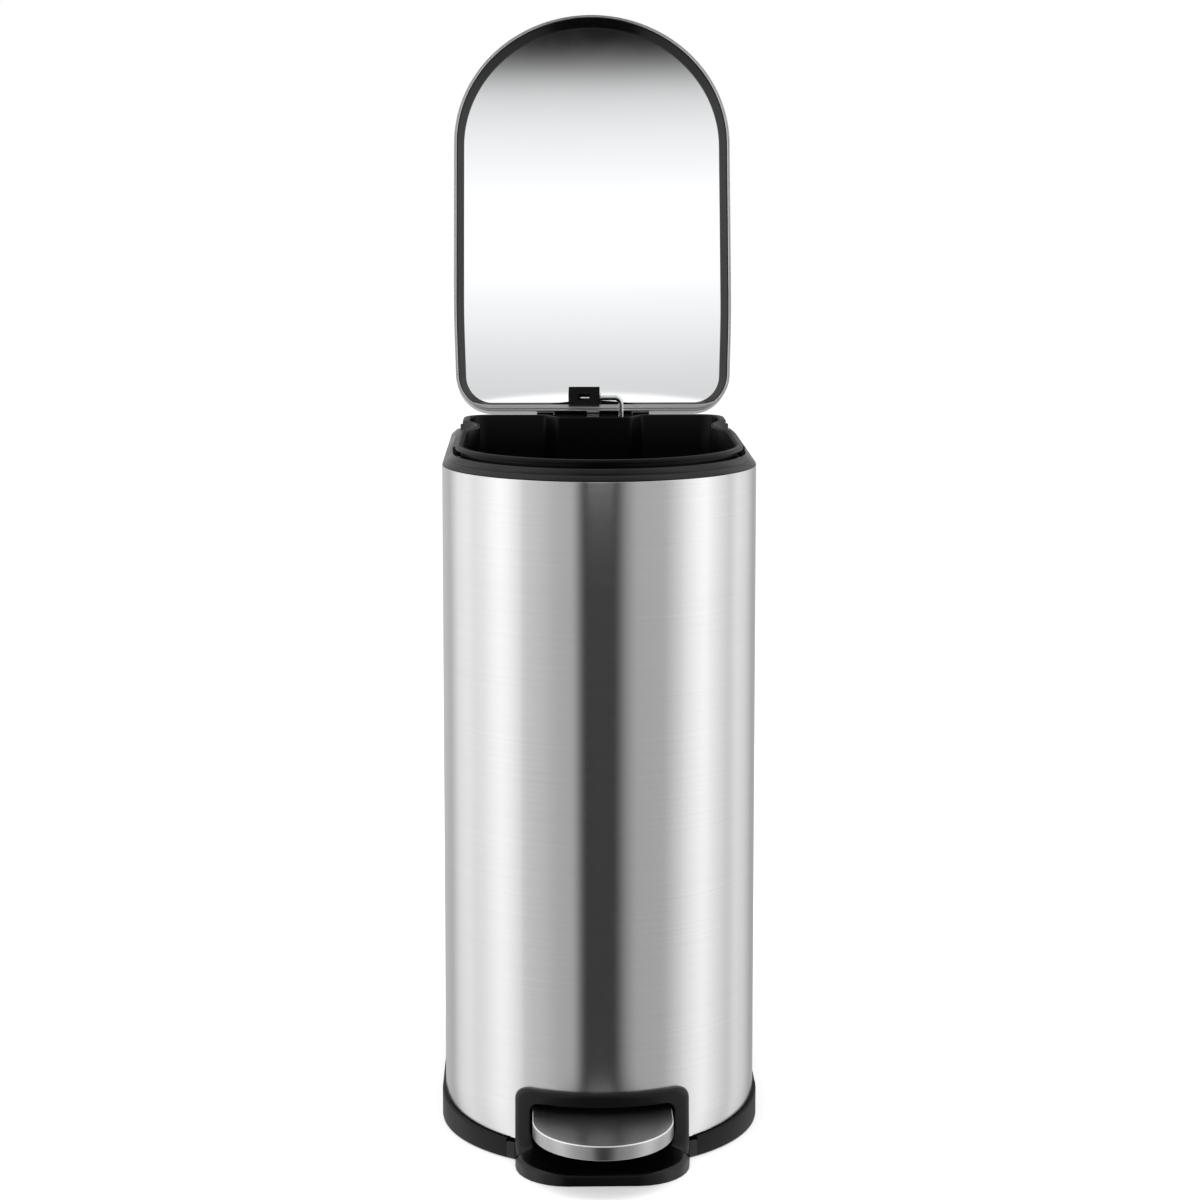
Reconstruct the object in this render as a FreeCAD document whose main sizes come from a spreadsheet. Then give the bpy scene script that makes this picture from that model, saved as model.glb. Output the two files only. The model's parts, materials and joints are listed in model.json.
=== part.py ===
"""Pedal trash can: a tall D-plan step bin with a brushed steel body, lift-up lid and foot pedal.

Millimetres. The origin is on the floor, at the centre of the front arch's ellipse. +Z is up, -Y is the
front, and +X is the right-hand side of someone who faces the back of the can.
Every moving piece is drawn at rest: the lid stands open on its stop and the pedal is up.
"""
import FreeCAD
import Part
import math
import os
import Sketcher
from FreeCAD import Placement, Rotation, Vector

# alias: (value, what it is)
DIMENSIONS = {
    "half_width": (135, "half of the body's width"),
    "arch_depth": (128, "depth of the front arch, a half ellipse"),
    "back_y": (260, "flat back of the body"),
    "corner_radius": (35, "back corners of the body"),
    "sheet_thick": (0.7, "steel sheet of the body and the lid"),
    "body_top": (576.3, "top edge of the steel body"),
    "body_bottom": (26.3, "bottom edge of the steel body behind the arch"),
    "front_drop": (10.8, "how far that edge falls towards the front"),
    "ring_proud": (3, "base ring beyond the steel"),
    "ring_gap": (0.8, "line between the base ring and the steel"),
    "spigot_outer": (1.3, "spigot inside the steel, inset of its outer face"),
    "spigot_inner": (3.8, "inset of its inner face"),
    "spigot_top": (42, "top of the spigot"),
    "floor_inset": (4.0, "inset of the base floor"),
    "floor_low": (5, "underside of the base floor"),
    "floor_thick": (3, "base floor"),
    "hub_radius": (30, "round seat under the middle of the floor"),
    "rib_tall": (8, "ribs on the floor"),
    "pad_radius": (12, "rubber feet"),
    "frame_half": (73, "pedal frame, half width"),
    "frame_top": (64, "pedal frame, top"),
    "frame_corner": (11, "pedal frame, top corners"),
    "frame_proud": (5, "pedal frame beyond the steel"),
    "flange_half": (78.8, "low flanges beside the pedal frame, half width"),
    "flange_top": (14.6, "top of those flanges"),
    "mouth_half": (60.2, "pedal opening, half width"),
    "mouth_low": (11, "sill of the pedal opening"),
    "mouth_top": (52.2, "top of the pedal opening"),
    "mouth_corner": (7, "corners of the pedal opening"),
    "foot_half": (72.6, "foot in front of the pedal frame, half width"),
    "foot_front": (168, "how far forward the foot reaches"),
    "foot_corner": (42, "corners of the foot, seen from above"),
    "tunnel_wall": (2.4, "walls of the tunnel behind the pedal opening"),
    "tunnel_back": (94, "back end of the tunnel, in front of the origin"),
    "pedal_half": (58.4, "pedal, half width"),
    "pedal_nose": (57.5, "depth of the pedal's rounded nose"),
    "pedal_centre": (140.5, "centre of that nose, in front of the origin"),
    "pedal_back": (97, "back edge of the pedal, in front of the origin"),
    "pedal_top": (46, "top of the pedal"),
    "pedal_skirt": (12, "pedal's rim, top to bottom"),
    "pedal_skin": (1.2, "steel cover of the pedal"),
    "pivot_y": (-20, "pedal pivot"),
    "pivot_z": (19.5, "pedal pivot"),
    "axle_radius": (4, "pedal axle"),
    "barrel_radius": (5.5, "barrel of the pedal lever"),
    "run_play": (0.05, "radial play of a shaft in its hole"),
    "lever_half": (20, "lever, half width"),
    "lever_thick": (3, "lever"),
    "lever_low": (22.5, "underside of the lever behind the step"),
    "lever_step": (8.4, "how much higher the lever is under the pedal"),
    "lever_back": (255, "back end of the lever"),
    "spring_y": (-60, "return spring"),
    "rod_x": (26.5, "upright of the push rod"),
    "rod_y": (254.3, "push rod"),
    "rod_radius": (2.5, "push rod"),
    "rod_foot": (57, "lower end of the push rod"),
    "rod_head": (608, "crank of the push rod that the lid turns on"),
    "rod_bend": (6, "bend between the upright and the crank"),
    "collar_top": (581, "flat of the top collar"),
    "collar_inner": (10, "inset of the collar's inner edge"),
    "collar_slope": (4.2, "bevel of the collar's outer edge"),
    "bag_rim_top": (586, "top of the bag rim"),
    "bucket_rim": (591.6, "top of the inner bucket"),
    "bucket_flange": (11.5, "inset of the bucket's flange"),
    "bucket_wall": (16, "inset of the bucket's wall at the top"),
    "bucket_thick": (2, "wall of the bucket"),
    "bucket_draft": (9, "how much further in the wall is at the bottom"),
    "bucket_low": (78, "underside of the bucket"),
    "channel_half": (33, "upright channel in the bucket's back, half width"),
    "channel_face": (223.5, "front face of that channel"),
    "channel_flare": (0.52, "how fast the channel widens towards the back"),
    "hinge_y": (266.65, "lid hinge"),
    "hinge_z": (588.9, "lid hinge"),
    "lid_open": (102, "angle of the open lid, degrees"),
    "lid_half": (134.2, "lid, half width"),
    "lid_arch": (127.4, "front arch of the lid"),
    "lid_back": (262.3, "back of the lid"),
    "lid_low": (581, "rim of the closed lid"),
    "lid_tall": (36, "lid, rim to top"),
    "lid_round": (8, "top edge of the lid"),
    "hem_wide": (2.6, "folded rim of the lid"),
    "hem_tall": (2, "folded rim of the lid"),
    "band_wide": (9.6, "inset of the inner panel in the lid"),
    "panel_deep": (14, "inner panel above the rim of the closed lid"),
    "knuckle_radius": (4.1, "hinge knuckles"),
    "pin_radius": (2, "hinge pin"),
}

doc = FreeCAD.newDocument("PedalTrashCan")
sheet = doc.addObject("Spreadsheet::Sheet", "dims")
nodes = []


def fill_sheet():
    for row, (alias, (value, note)) in enumerate(DIMENSIONS.items(), start=1):
        sheet.set(f"A{row}", alias)
        sheet.set(f"B{row}", str(value))
        sheet.set(f"C{row}", note)
        sheet.setAlias(f"B{row}", alias)
    doc.recompute()


def number(text):
    """Value of an expression over the sheet, for drawing a sketch before its constraints hold it."""
    return float(sheet.evalExpression(str(text)))


def linked(text):
    """The same expression as another object states it, with the sheet's name before each alias."""
    out = []
    for word in str(text).replace("(", "( ").replace(")", " )").split():
        out.append(f"dims.{word}" if word in DIMENSIONS else word)
    return " ".join(out)


def bind(thing, **sizes):
    for name, text in sizes.items():
        thing.setExpression(name.replace("__", "."), linked(text))


def keep(thing, label):
    """Make this object a node: its label names its file."""
    thing.Label = label
    nodes.append(thing)
    return thing


# ---- sketches ----------------------------------------------------------------------------------


def new_sketch(body, name, plane, lift="0"):
    sketch = body.newObject("Sketcher::SketchObject", name)
    origin = [f for f in body.Origin.OriginFeatures if f.Role == plane]
    sketch.AttachmentSupport = [(origin[0], "")]
    sketch.MapMode = "FlatFace"
    bind(sketch, AttachmentOffset__Base__z=lift)
    return sketch


def hold(sketch, kind, *where_and_expression):
    """Add one dimension that follows the sheet."""
    *where, text = where_and_expression
    index = sketch.addConstraint(Sketcher.Constraint(kind, *where, number(text)))
    sketch.setExpression(f"Constraints[{index}]", linked(text))


def draw_plan(sketch, half, arch, back, corner, centre="0"):
    """The D outline: half an ellipse in front, straight sides, and a flat back with round corners."""
    a, b, yb, r, yc = (number(text) for text in (half, arch, back, corner, centre))
    n = sketch.GeometryCount
    up = Vector(0, 0, 1)
    oval = Part.Ellipse(Vector(a, yc, 0), Vector(0, yc + b, 0), Vector(0, yc, 0))
    right, left = Vector(a - r, yb - r, 0), Vector(r - a, yb - r, 0)
    sketch.addGeometry([
        Part.ArcOfEllipse(oval, math.pi, 2 * math.pi),
        Part.LineSegment(Vector(a, yc, 0), Vector(a, yb - r, 0)),
        Part.ArcOfCircle(Part.Circle(right, up, r), 0, math.pi / 2),
        Part.LineSegment(Vector(a - r, yb, 0), Vector(r - a, yb, 0)),
        Part.ArcOfCircle(Part.Circle(left, up, r), math.pi / 2, math.pi),
        Part.LineSegment(Vector(-a, yb - r, 0), Vector(-a, yc, 0)),
    ], False)
    rule = Sketcher.Constraint
    sketch.addConstraint([rule("Tangent", n + i, 2, n + i + 1, 1) for i in (1, 2, 3, 4)])
    sketch.addConstraint([
        rule("Coincident", n, 2, n + 1, 1),
        rule("Coincident", n + 5, 2, n, 1),
        rule("Vertical", n + 1),
        rule("Vertical", n + 5),
        rule("Horizontal", n + 3),
        rule("Equal", n + 2, n + 4),
        rule("PointOnObject", n, 3, -2),
        rule("Horizontal", n + 1, 1, n, 3),
        rule("Horizontal", n + 5, 2, n, 3),
    ])
    hold(sketch, "DistanceX", -1, 1, n + 1, 1, half)
    hold(sketch, "DistanceY", -1, 1, n + 3, 1, back)
    hold(sketch, "DistanceY", -1, 1, n, 3, centre)
    hold(sketch, "Radius", n + 2, corner)
    sketch.exposeInternalGeometry(n)
    sketch.addConstraint(rule("Horizontal", n + 6))
    hold(sketch, "Distance", n + 7, f"2 * ( {arch} )")


def draw_body_plan(sketch, inset):
    """The body's own outline, moved in by an inset."""
    draw_plan(sketch, f"half_width - ( {inset} )", f"arch_depth - ( {inset} )",
              f"back_y - ( {inset} )", f"corner_radius - ( {inset} )")


def draw_lid_plan(sketch, inset):
    draw_plan(sketch, f"lid_half - ( {inset} )", f"lid_arch - ( {inset} )",
              f"lid_back - ( {inset} )", f"corner_radius - ( {inset} )")


def draw_pedal_plan(sketch, inset):
    draw_plan(sketch, f"pedal_half - ( {inset} )", f"pedal_nose - ( {inset} )",
              f"0 - pedal_back - ( {inset} )", f"4 - ( {inset} )", "0 - pedal_centre")


def draw_polygon(sketch, points):
    """A closed polygon whose corners are pairs of expressions."""
    corners = [Vector(number(x), number(y), 0) for x, y in points]
    n, count = sketch.GeometryCount, len(points)
    for i, corner in enumerate(corners):
        sketch.addGeometry(Part.LineSegment(corner, corners[(i + 1) % count]), False)
    for i, (x, y) in enumerate(points):
        sketch.addConstraint(Sketcher.Constraint("Coincident", n + i, 2, n + (i + 1) % count, 1))
        hold(sketch, "DistanceX", -1, 1, n + i, 1, x)
        hold(sketch, "DistanceY", -1, 1, n + i, 1, y)


def draw_circle(sketch, x, y, radius):
    n = sketch.addGeometry(
        Part.Circle(Vector(number(x), number(y), 0), Vector(0, 0, 1), number(radius)), False)
    hold(sketch, "DistanceX", -1, 1, n, 3, x)
    hold(sketch, "DistanceY", -1, 1, n, 3, y)
    hold(sketch, "Radius", n, radius)


# ---- features ----------------------------------------------------------------------------------


def new_body(name):
    return doc.addObject("PartDesign::Body", name)


def pad(body, sketch, length, midplane=False):
    feature = body.newObject("PartDesign::Pad", "pad")
    feature.Profile = sketch
    feature.Midplane = midplane
    bind(feature, Length=length)
    sketch.Visibility = False
    doc.recompute()
    return feature


def pocket(body, sketch, length, midplane=False, reverse=False):
    """Cut the sketch away, and stop if it cut nothing."""
    before = body.Shape.Volume
    feature = body.newObject("PartDesign::Pocket", "pocket")
    feature.Profile = sketch
    feature.Midplane = midplane
    feature.Reversed = reverse
    bind(feature, Length=length)
    doc.recompute()
    if body.Shape.Volume > before - 0.01:
        raise RuntimeError(f"{body.Label}: {sketch.Label} cut nothing")
    return feature


def edges_where(body, test):
    return [f"Edge{i}" for i, edge in enumerate(body.Shape.Edges, start=1) if test(edge)]


def at_height(edge, text):
    """True for an edge that lies flat at this height."""
    box, height = edge.BoundBox, number(text)
    return abs(box.ZMin - height) < 1e-4 and abs(box.ZMax - height) < 1e-4


def fillet(body, test, radius):
    base = body.Tip
    feature = body.newObject("PartDesign::Fillet", "fillet")
    feature.Base = (base, edges_where(body, test))
    bind(feature, Radius=radius)
    doc.recompute()


def chamfer(body, test, size, size2=None, flip=False):
    base = body.Tip
    feature = body.newObject("PartDesign::Chamfer", "chamfer")
    feature.Base = (base, edges_where(body, test))
    bind(feature, Size=size)
    if size2:
        feature.ChamferType = "Two distances"
        bind(feature, Size2=size2)
        feature.FlipDirection = flip
    doc.recompute()


def ring(name, draw, outer, inner, low, tall):
    """A D-plan ring between two insets, from one height up."""
    body = new_body(name)
    sketch = new_sketch(body, "plan", "XY_Plane", low)
    draw(sketch, outer)
    draw(sketch, inner)
    pad(body, sketch, tall)
    return body


def prism(name, draw, inset, low, tall):
    body = new_body(name)
    sketch = new_sketch(body, "plan", "XY_Plane", low)
    draw(sketch, inset)
    pad(body, sketch, tall)
    return body


def box(name, x, y, z):
    """A Part::Box between pairs of expressions."""
    block = doc.addObject("Part::Box", name)
    bind(block, Length=f"{x[1]} - ( {x[0]} )", Width=f"{y[1]} - ( {y[0]} )",
         Height=f"{z[1]} - ( {z[0]} )", Placement__Base__x=x[0], Placement__Base__y=y[0],
         Placement__Base__z=z[0])
    return block


def cylinder(name, centre, radius, length, axis="Z"):
    """A Part::Cylinder that starts at centre and runs along +X, +Y or +Z."""
    turn = {"X": Rotation(Vector(0, 1, 0), 90), "Y": Rotation(Vector(1, 0, 0), -90), "Z": Rotation()}
    rod = doc.addObject("Part::Cylinder", name)
    rod.Placement = Placement(Vector(), turn[axis])
    bind(rod, Radius=radius, Height=length, Placement__Base__x=centre[0],
         Placement__Base__y=centre[1], Placement__Base__z=centre[2])
    return rod


def cut(name, base, *tools):
    """Base less every tool."""
    tool = tools[0] if len(tools) == 1 else fuse(f"{name}_tools", *tools)
    result = doc.addObject("Part::Cut", name)
    result.Base = base
    result.Tool = tool
    return result


def fuse(name, *pieces):
    result = doc.addObject("Part::MultiFuse", name)
    result.Shapes = list(pieces)
    result.Refine = True
    return result


def common(name, *pieces):
    result = doc.addObject("Part::MultiCommon", name)
    result.Shapes = list(pieces)
    return result


def rounded_block(name, half, y, z, radius, rounded):
    """A block along Y whose edges named by the test are rounded."""
    body = new_body(name)
    sketch = new_sketch(body, "face", "XZ_Plane", f"0 - ( {y[0]} )")
    draw_polygon(sketch, [(f"0 - ( {half} )", z[0]), (half, z[0]), (half, z[1]), (f"0 - ( {half} )", z[1])])
    feature = pad(body, sketch, f"{y[1]} - ( {y[0]} )")
    feature.Reversed = True
    doc.recompute()
    along_y = lambda edge: edge.BoundBox.YLength > 1 and edge.BoundBox.XLength + edge.BoundBox.ZLength < 1e-4
    fillet(body, lambda edge: along_y(edge) and rounded(edge), radius)
    return body


# ---- body and base -----------------------------------------------------------------------------


def make_outer_shell():
    body = ring("outer_shell", draw_body_plan, "0", "sheet_thick", "body_bottom - front_drop",
                "body_top - body_bottom + front_drop")
    edge = new_sketch(body, "bottom_edge", "YZ_Plane")
    draw_polygon(edge, [("0 - arch_depth - 1", "0"), ("0 - arch_depth - 1", "body_bottom - front_drop"),
                        ("0 - arch_depth", "body_bottom - front_drop"), ("0", "body_bottom"),
                        ("back_y + 1", "body_bottom"), ("back_y + 1", "0")])
    pocket(body, edge, "3 * half_width", midplane=True)
    mouth = new_sketch(body, "mouth", "XZ_Plane")
    draw_polygon(mouth, [("0 - frame_half + 7", "0"), ("frame_half - 7", "0"),
                         ("frame_half - 7", "frame_top - 6"), ("0 - frame_half + 7", "frame_top - 6")])
    pocket(body, mouth, "2 * arch_depth", reverse=True)
    keep(body, "outer_shell")


def make_base_ring():
    body = ring("base_ring", draw_body_plan, "0 - ring_proud", "spigot_inner", "0",
                "body_bottom - ring_gap")
    slope = new_sketch(body, "slope", "YZ_Plane")
    front = "0 - arch_depth - 2 * ring_proud"
    draw_polygon(slope, [("0", "body_bottom - ring_gap"), ("0", "2 * body_bottom"), (front, "2 * body_bottom"),
                         (front, "body_bottom - ring_gap - front_drop - 0.5")])
    pocket(body, slope, "3 * half_width", midplane=True)
    spigot = new_sketch(body, "spigot", "XY_Plane")
    draw_body_plan(spigot, "spigot_outer")
    draw_body_plan(spigot, "spigot_inner")
    pad(body, spigot, "spigot_top")
    gap = new_sketch(body, "pedal_gap", "XZ_Plane")
    draw_polygon(gap, [("0 - flange_half - 0.2", "0 - 1"), ("flange_half + 0.2", "0 - 1"),
                       ("flange_half + 0.2", "spigot_top + 1"), ("0 - flange_half - 0.2", "spigot_top + 1")])
    pocket(body, gap, "2 * arch_depth", reverse=True)
    keep(body, "base_ring")


def make_base_floor():
    body = prism("base_floor", draw_body_plan, "floor_inset", "floor_low", "floor_thick")
    hub = new_sketch(body, "hub", "XY_Plane")
    draw_circle(hub, "0", "0", "hub_radius")
    pad(body, hub, "floor_low")
    for side in ("", "0 - "):
        rib = new_sketch(body, "rib", "XY_Plane", "floor_low")
        inner, outer = f"{side}half_width * 0.6", f"{side}half_width * 0.62"
        draw_polygon(rib, [(inner, "0 - 60"), (outer, "0 - 60"), (outer, "back_y - 30"), (inner, "back_y - 30")])
        pad(body, rib, "floor_thick + rib_tall")
    keep(body, "base_floor")
    for number_of_pad, (x, y) in enumerate([("85", "0 - 35"), ("0 - 85", "0 - 35"), ("85", "back_y - 45"),
                                            ("0 - 85", "back_y - 45")], start=1):
        label = f"foot_pad_{number_of_pad}"
        keep(cylinder(label, (x, y, "0"), "pad_radius", "floor_low"), label)


def make_pedal_housing():
    """A black frame round the pedal opening, with a foot in front and a short tunnel behind."""
    top_corner = lambda edge: edge.BoundBox.ZMin > number("frame_top") - 1
    outside = common("frame_outside",
                     ring("frame_ring", draw_body_plan, "0 - frame_proud", "0 - 0.2", "0", "frame_top"),
                     rounded_block("frame_block", "frame_half", ("0 - 160", "0 - 60"), ("0", "frame_top"),
                                   "frame_corner", top_corner))
    inside = common("frame_inside",
                    ring("plug_ring", draw_body_plan, "0 - 0.2", "spigot_inner", "0", "frame_top - 6.3"),
                    box("plug_block", ("0 - frame_half + 7.2", "frame_half - 7.2"), ("0 - 160", "0 - 60"),
                        ("0", "frame_top - 6.3")))
    flanges = common("flanges",
                     ring("flange_ring", draw_body_plan, "0 - ring_proud", "spigot_inner", "0", "flange_top"),
                     box("flange_block", ("0 - flange_half", "flange_half"), ("0 - 160", "0 - 60"),
                         ("0", "flange_top")))
    foot = new_body("foot")
    outline = new_sketch(foot, "outline", "XY_Plane")
    draw_polygon(outline, [("0 - foot_half", "0 - foot_front"), ("foot_half", "0 - foot_front"),
                           ("foot_half", "0 - arch_depth + 12"), ("0 - foot_half", "0 - arch_depth + 12")])
    pad(foot, outline, "mouth_low")
    fillet(foot, lambda e: e.BoundBox.ZLength > 1 and e.BoundBox.YMax < number("0 - foot_front") + 1,
           "foot_corner")
    fillet(foot, lambda e: at_height(e, "mouth_low") and e.BoundBox.YMin < number("0 - arch_depth") + 1
           and e.BoundBox.YMax < number("0 - arch_depth") + 13.5, "2.5")
    inner_room = prism("inner_room", draw_body_plan, "spigot_inner", "0 - 1", "frame_top")
    any_edge = lambda edge: True
    sleeve = rounded_block("sleeve", "mouth_half + tunnel_wall", ("0 - arch_depth + 4", "0 - tunnel_back"),
                           ("mouth_low - tunnel_wall", "mouth_top + tunnel_wall"),
                           "mouth_corner + tunnel_wall", any_edge)
    mouth = rounded_block("mouth", "mouth_half", ("0 - 200", "0 - 60"), ("mouth_low", "mouth_top"),
                          "mouth_corner", any_edge)
    solid = fuse("housing_solid", outside, inside, flanges, cut("foot_trim", foot, inner_room), sleeve)
    keep(cut("pedal_housing", solid, mouth), "pedal_housing")


# ---- pedal -------------------------------------------------------------------------------------


def make_pedal():
    plate = prism("pedal_tray", draw_pedal_plan, "0", "pedal_top - pedal_skirt", "pedal_skirt")
    fillet(plate, lambda edge: at_height(edge, "pedal_top"), "2.2")
    hollow = new_sketch(plate, "hollow", "XY_Plane", "pedal_top - pedal_skin")
    draw_pedal_plan(hollow, "pedal_skin")
    pocket(plate, hollow, "pedal_skirt")
    lever_notch = box("lever_notch", ("0 - lever_half - 1", "lever_half + 1"), ("0 - pedal_back - 3", "0"),
                      ("0", "lever_low + lever_step + lever_thick + 0.5"))
    keep(cut("pedal_cover", plate, lever_notch), "pedal_plate")
    core = prism("pedal_core", draw_pedal_plan, "pedal_skin + 0.3", "lever_low + lever_step + lever_thick",
                 "pedal_top - pedal_skin - 0.1 - ( lever_low + lever_step + lever_thick )")
    fillet(core, lambda edge: at_height(edge, "pedal_top - pedal_skin - 0.1"), "1.4")
    keep(core, "pedal_core")


def make_lever():
    """A steel strip from under the pedal, over the axle, to the back."""
    body = new_body("pedal_lever")
    side = new_sketch(body, "side", "YZ_Plane")
    high, low = "lever_low + lever_step", "lever_low"
    draw_polygon(side, [("0 - 165", high), ("0 - 97", high), ("0 - 83", low), ("lever_back", low),
                        ("lever_back", f"{low} + lever_thick"), ("0 - 81.4", f"{low} + lever_thick"),
                        ("0 - 95.4", f"{high} + lever_thick"), ("0 - 165", f"{high} + lever_thick")])
    pad(body, side, "2 * lever_half", midplane=True)
    barrel = new_sketch(body, "barrel", "YZ_Plane")
    draw_circle(barrel, "pivot_y", "pivot_z", "barrel_radius")
    pad(body, barrel, "2 * lever_half", midplane=True)
    hole = new_sketch(body, "axle_hole", "YZ_Plane")
    draw_circle(hole, "pivot_y", "pivot_z", "axle_radius + run_play")
    pocket(body, hole, "4 * lever_half", midplane=True)
    keep(body, "pedal_lever")
    for index, y in enumerate(("0 - 150", "0 - 115"), start=1):
        head = cylinder(f"rivet_head_{index}", ("0", y, "lever_low + lever_step - 1.5"), "4.5", "1.5")
        keep(head, f"pedal_rivet_{index}")


def make_lever_fork():
    """A plate on the back end of the lever whose open slot straddles the push rod."""
    top = "lever_low + lever_thick"
    plate = box("fork_plate", ("0 - lever_half + 2", "rod_x + 9"), ("226", "lever_back"), (top, f"{top} + 3"))
    slot = box("fork_slot", ("rod_x - 4.5", "rod_x + 4.5"), ("238", "lever_back + 1"), (f"{top} - 1", f"{top} + 4"))
    keep(cut("lever_fork", plate, slot), "lever_fork")


def make_pivot():
    """Two ears on the floor hold the axle that the lever turns on."""
    floor = "floor_low + floor_thick"
    gap = "lever_half + 2.5"
    for name, side in (("right", 1), ("left", -1)):
        spans = [(gap, f"{gap} + 3"), (gap, f"{gap} + 16"), (f"{gap} - 1", f"{gap} + 4")]
        if side < 0:
            spans = [(f"0 - ( {high} )", f"0 - ( {low} )") for low, high in spans]
        ear = box(f"ear_{name}", spans[0], ("pivot_y - 13", "pivot_y + 13"), (floor, "pivot_z + 9"))
        foot = box(f"ear_foot_{name}", spans[1], ("pivot_y - 13", "pivot_y + 13"), (floor, f"{floor} + 2.5"))
        hole = cylinder(f"ear_hole_{name}", (spans[2][0], "pivot_y", "pivot_z"),
                        "axle_radius + run_play", "5", "X")
        keep(cut(f"pivot_bracket_{name}", fuse(f"bracket_{name}", ear, foot), hole), f"pivot_bracket_{name}")
        for index, y in enumerate(("pivot_y - 8", "pivot_y + 8"), start=1):
            x = f"{gap} + 10" if side > 0 else f"0 - ( {gap} + 10 )"
            screw = cylinder(f"screw_{name}_{index}", (x, y, f"{floor} + 2.5"), "3.4", "2.2")
            keep(screw, f"bracket_screw_{name}_{index}")
        x = f"{gap} + 3.3" if side > 0 else f"0 - ( {gap} + 4.5 )"
        washer = cylinder(f"clip_disc_{name}", (x, "pivot_y", "pivot_z"), "7", "1.2", "X")
        bore = cylinder(f"clip_bore_{name}", (f"{x} - 1", "pivot_y", "pivot_z"), "axle_radius + 0.01", "4", "X")
        keep(cut(f"axle_clip_{name}", washer, bore), f"axle_clip_{name}")
    keep(cylinder("pivot_axle", (f"0 - ( {gap} + 6 )", "pivot_y", "pivot_z"), "axle_radius",
                  f"2 * ( {gap} + 6 )", "X"), "pivot_axle")


def make_return_spring():
    floor = "floor_low + floor_thick"
    coil = cylinder("spring_outside", ("0", "spring_y", floor), "7", f"lever_low - ( {floor} ) - 0.1")
    bore = cylinder("spring_bore", ("0", "spring_y", f"{floor} - 1"), "4.8", "lever_low")
    keep(cut("return_spring", coil, bore), "return_spring")


# ---- push rod ----------------------------------------------------------------------------------


def make_push_rod():
    """A bent wire: upright behind the bucket, then a crank that the lid's bracket turns on."""
    body = new_body("push_rod")
    path = new_sketch(body, "path", "XZ_Plane", "0 - rod_y")
    x, foot, head, bend = (number(text) for text in ("rod_x", "rod_foot", "rod_head", "rod_bend"))
    centre = Vector(x - bend, head - bend, 0)
    path.addGeometry([
        Part.LineSegment(Vector(x, foot, 0), Vector(x, head - bend, 0)),
        Part.ArcOfCircle(Part.Circle(centre, Vector(0, 0, 1), bend), 0, math.pi / 2),
        Part.LineSegment(Vector(x - bend, head, 0), Vector(-13.5, head, 0)),
    ], False)
    path.addConstraint([Sketcher.Constraint("Tangent", 0, 2, 1, 1), Sketcher.Constraint("Tangent", 1, 2, 2, 1),
                        Sketcher.Constraint("Vertical", 0), Sketcher.Constraint("Horizontal", 2)])
    hold(path, "DistanceX", -1, 1, 0, 1, "rod_x")
    hold(path, "DistanceY", -1, 1, 0, 1, "rod_foot")
    hold(path, "DistanceY", -1, 1, 2, 2, "rod_head")
    hold(path, "DistanceX", -1, 1, 2, 2, "0 - 13.5")
    hold(path, "Radius", 1, "rod_bend")
    wire = new_sketch(body, "wire", "XY_Plane", "rod_foot")
    draw_circle(wire, "rod_x", "rod_y", "rod_radius")
    doc.recompute()
    pipe = body.newObject("PartDesign::AdditivePipe", "pipe")
    pipe.Profile = wire
    pipe.Spine = (path, ["Edge1", "Edge2", "Edge3"])
    doc.recompute()
    keep(body, "push_rod")
    disc = cylinder("retainer_disc", ("6.3", "rod_y", "rod_head"), "4.6", "1", "X")
    bore = cylinder("retainer_bore", ("4", "rod_y", "rod_head"), "rod_radius + 0.01", "4", "X")
    keep(cut("rod_retainer", disc, bore), "rod_retainer")


def make_rod_guide():
    block = box("guide_block", ("rod_x - 8.5", "rod_x + 8.5"), ("236", "back_y - sheet_thick"), ("292", "308"))
    room = box("guide_room", ("rod_x - 4.2", "rod_x + 4.2"), ("240", "back_y - 2"), ("290", "310"))
    keep(cut("rod_guide", block, room), "rod_guide")


# ---- top of the body ---------------------------------------------------------------------------


def make_top_collar():
    """A ring on the body's edge, open at the back where the push rod and the lid's bracket pass."""
    body = ring("collar", draw_body_plan, "0.3", "collar_inner", "body_top + 0.2",
                "collar_top - body_top - 0.2")
    half = number("half_width")
    outer = lambda e: at_height(e, "collar_top") and (e.BoundBox.XMax > half - 5 or e.BoundBox.XMin < 5 - half
                                                      or e.BoundBox.YMax > number("back_y") - 5)
    chamfer(body, outer, "collar_slope")
    plug = ring("collar_plug", draw_body_plan, "sheet_thick + 0.3", "sheet_thick + 2.5", "body_top - 18",
                "18.4")
    gap = box("collar_gap", ("0 - 37", "37"), ("200", "back_y + 5"), ("500", "600"))
    keep(cut("top_collar", fuse("collar_solid", body, plug), gap), "top_collar")
    rim = ring("rim_ring", draw_body_plan, "5.6", "collar_inner - 0.5", "collar_top", "bag_rim_top - collar_top")
    chamfer(rim, lambda e: at_height(e, "bag_rim_top") and (e.BoundBox.XMax > half - 7 or e.BoundBox.XMin < 7 - half
                                                           or e.BoundBox.YMax > number("back_y") - 7), "3.4")
    front = box("rim_front", ("0 - 200", "200"), ("0 - 200", "6"), ("500", "600"))
    keep(common("bag_rim", rim, front), "bag_rim")


def channel(name, grow, low, high):
    """The upright channel down the back of the bucket, wider towards the back."""
    wedge = doc.addObject("Part::Wedge", name)
    half = f"( channel_half + {grow} )"
    bind(wedge, Xmin=f"0 - {half}", Xmax=half, Ymin=f"channel_face - {grow}", Ymax="back_y + 20",
         X2min=f"0 - {half} - channel_flare * ( back_y + 20 - channel_face )",
         X2max=f"{half} + channel_flare * ( back_y + 20 - channel_face )",
         Zmin=low, Zmax=high, Z2min=low, Z2max=high)
    return wedge


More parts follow.
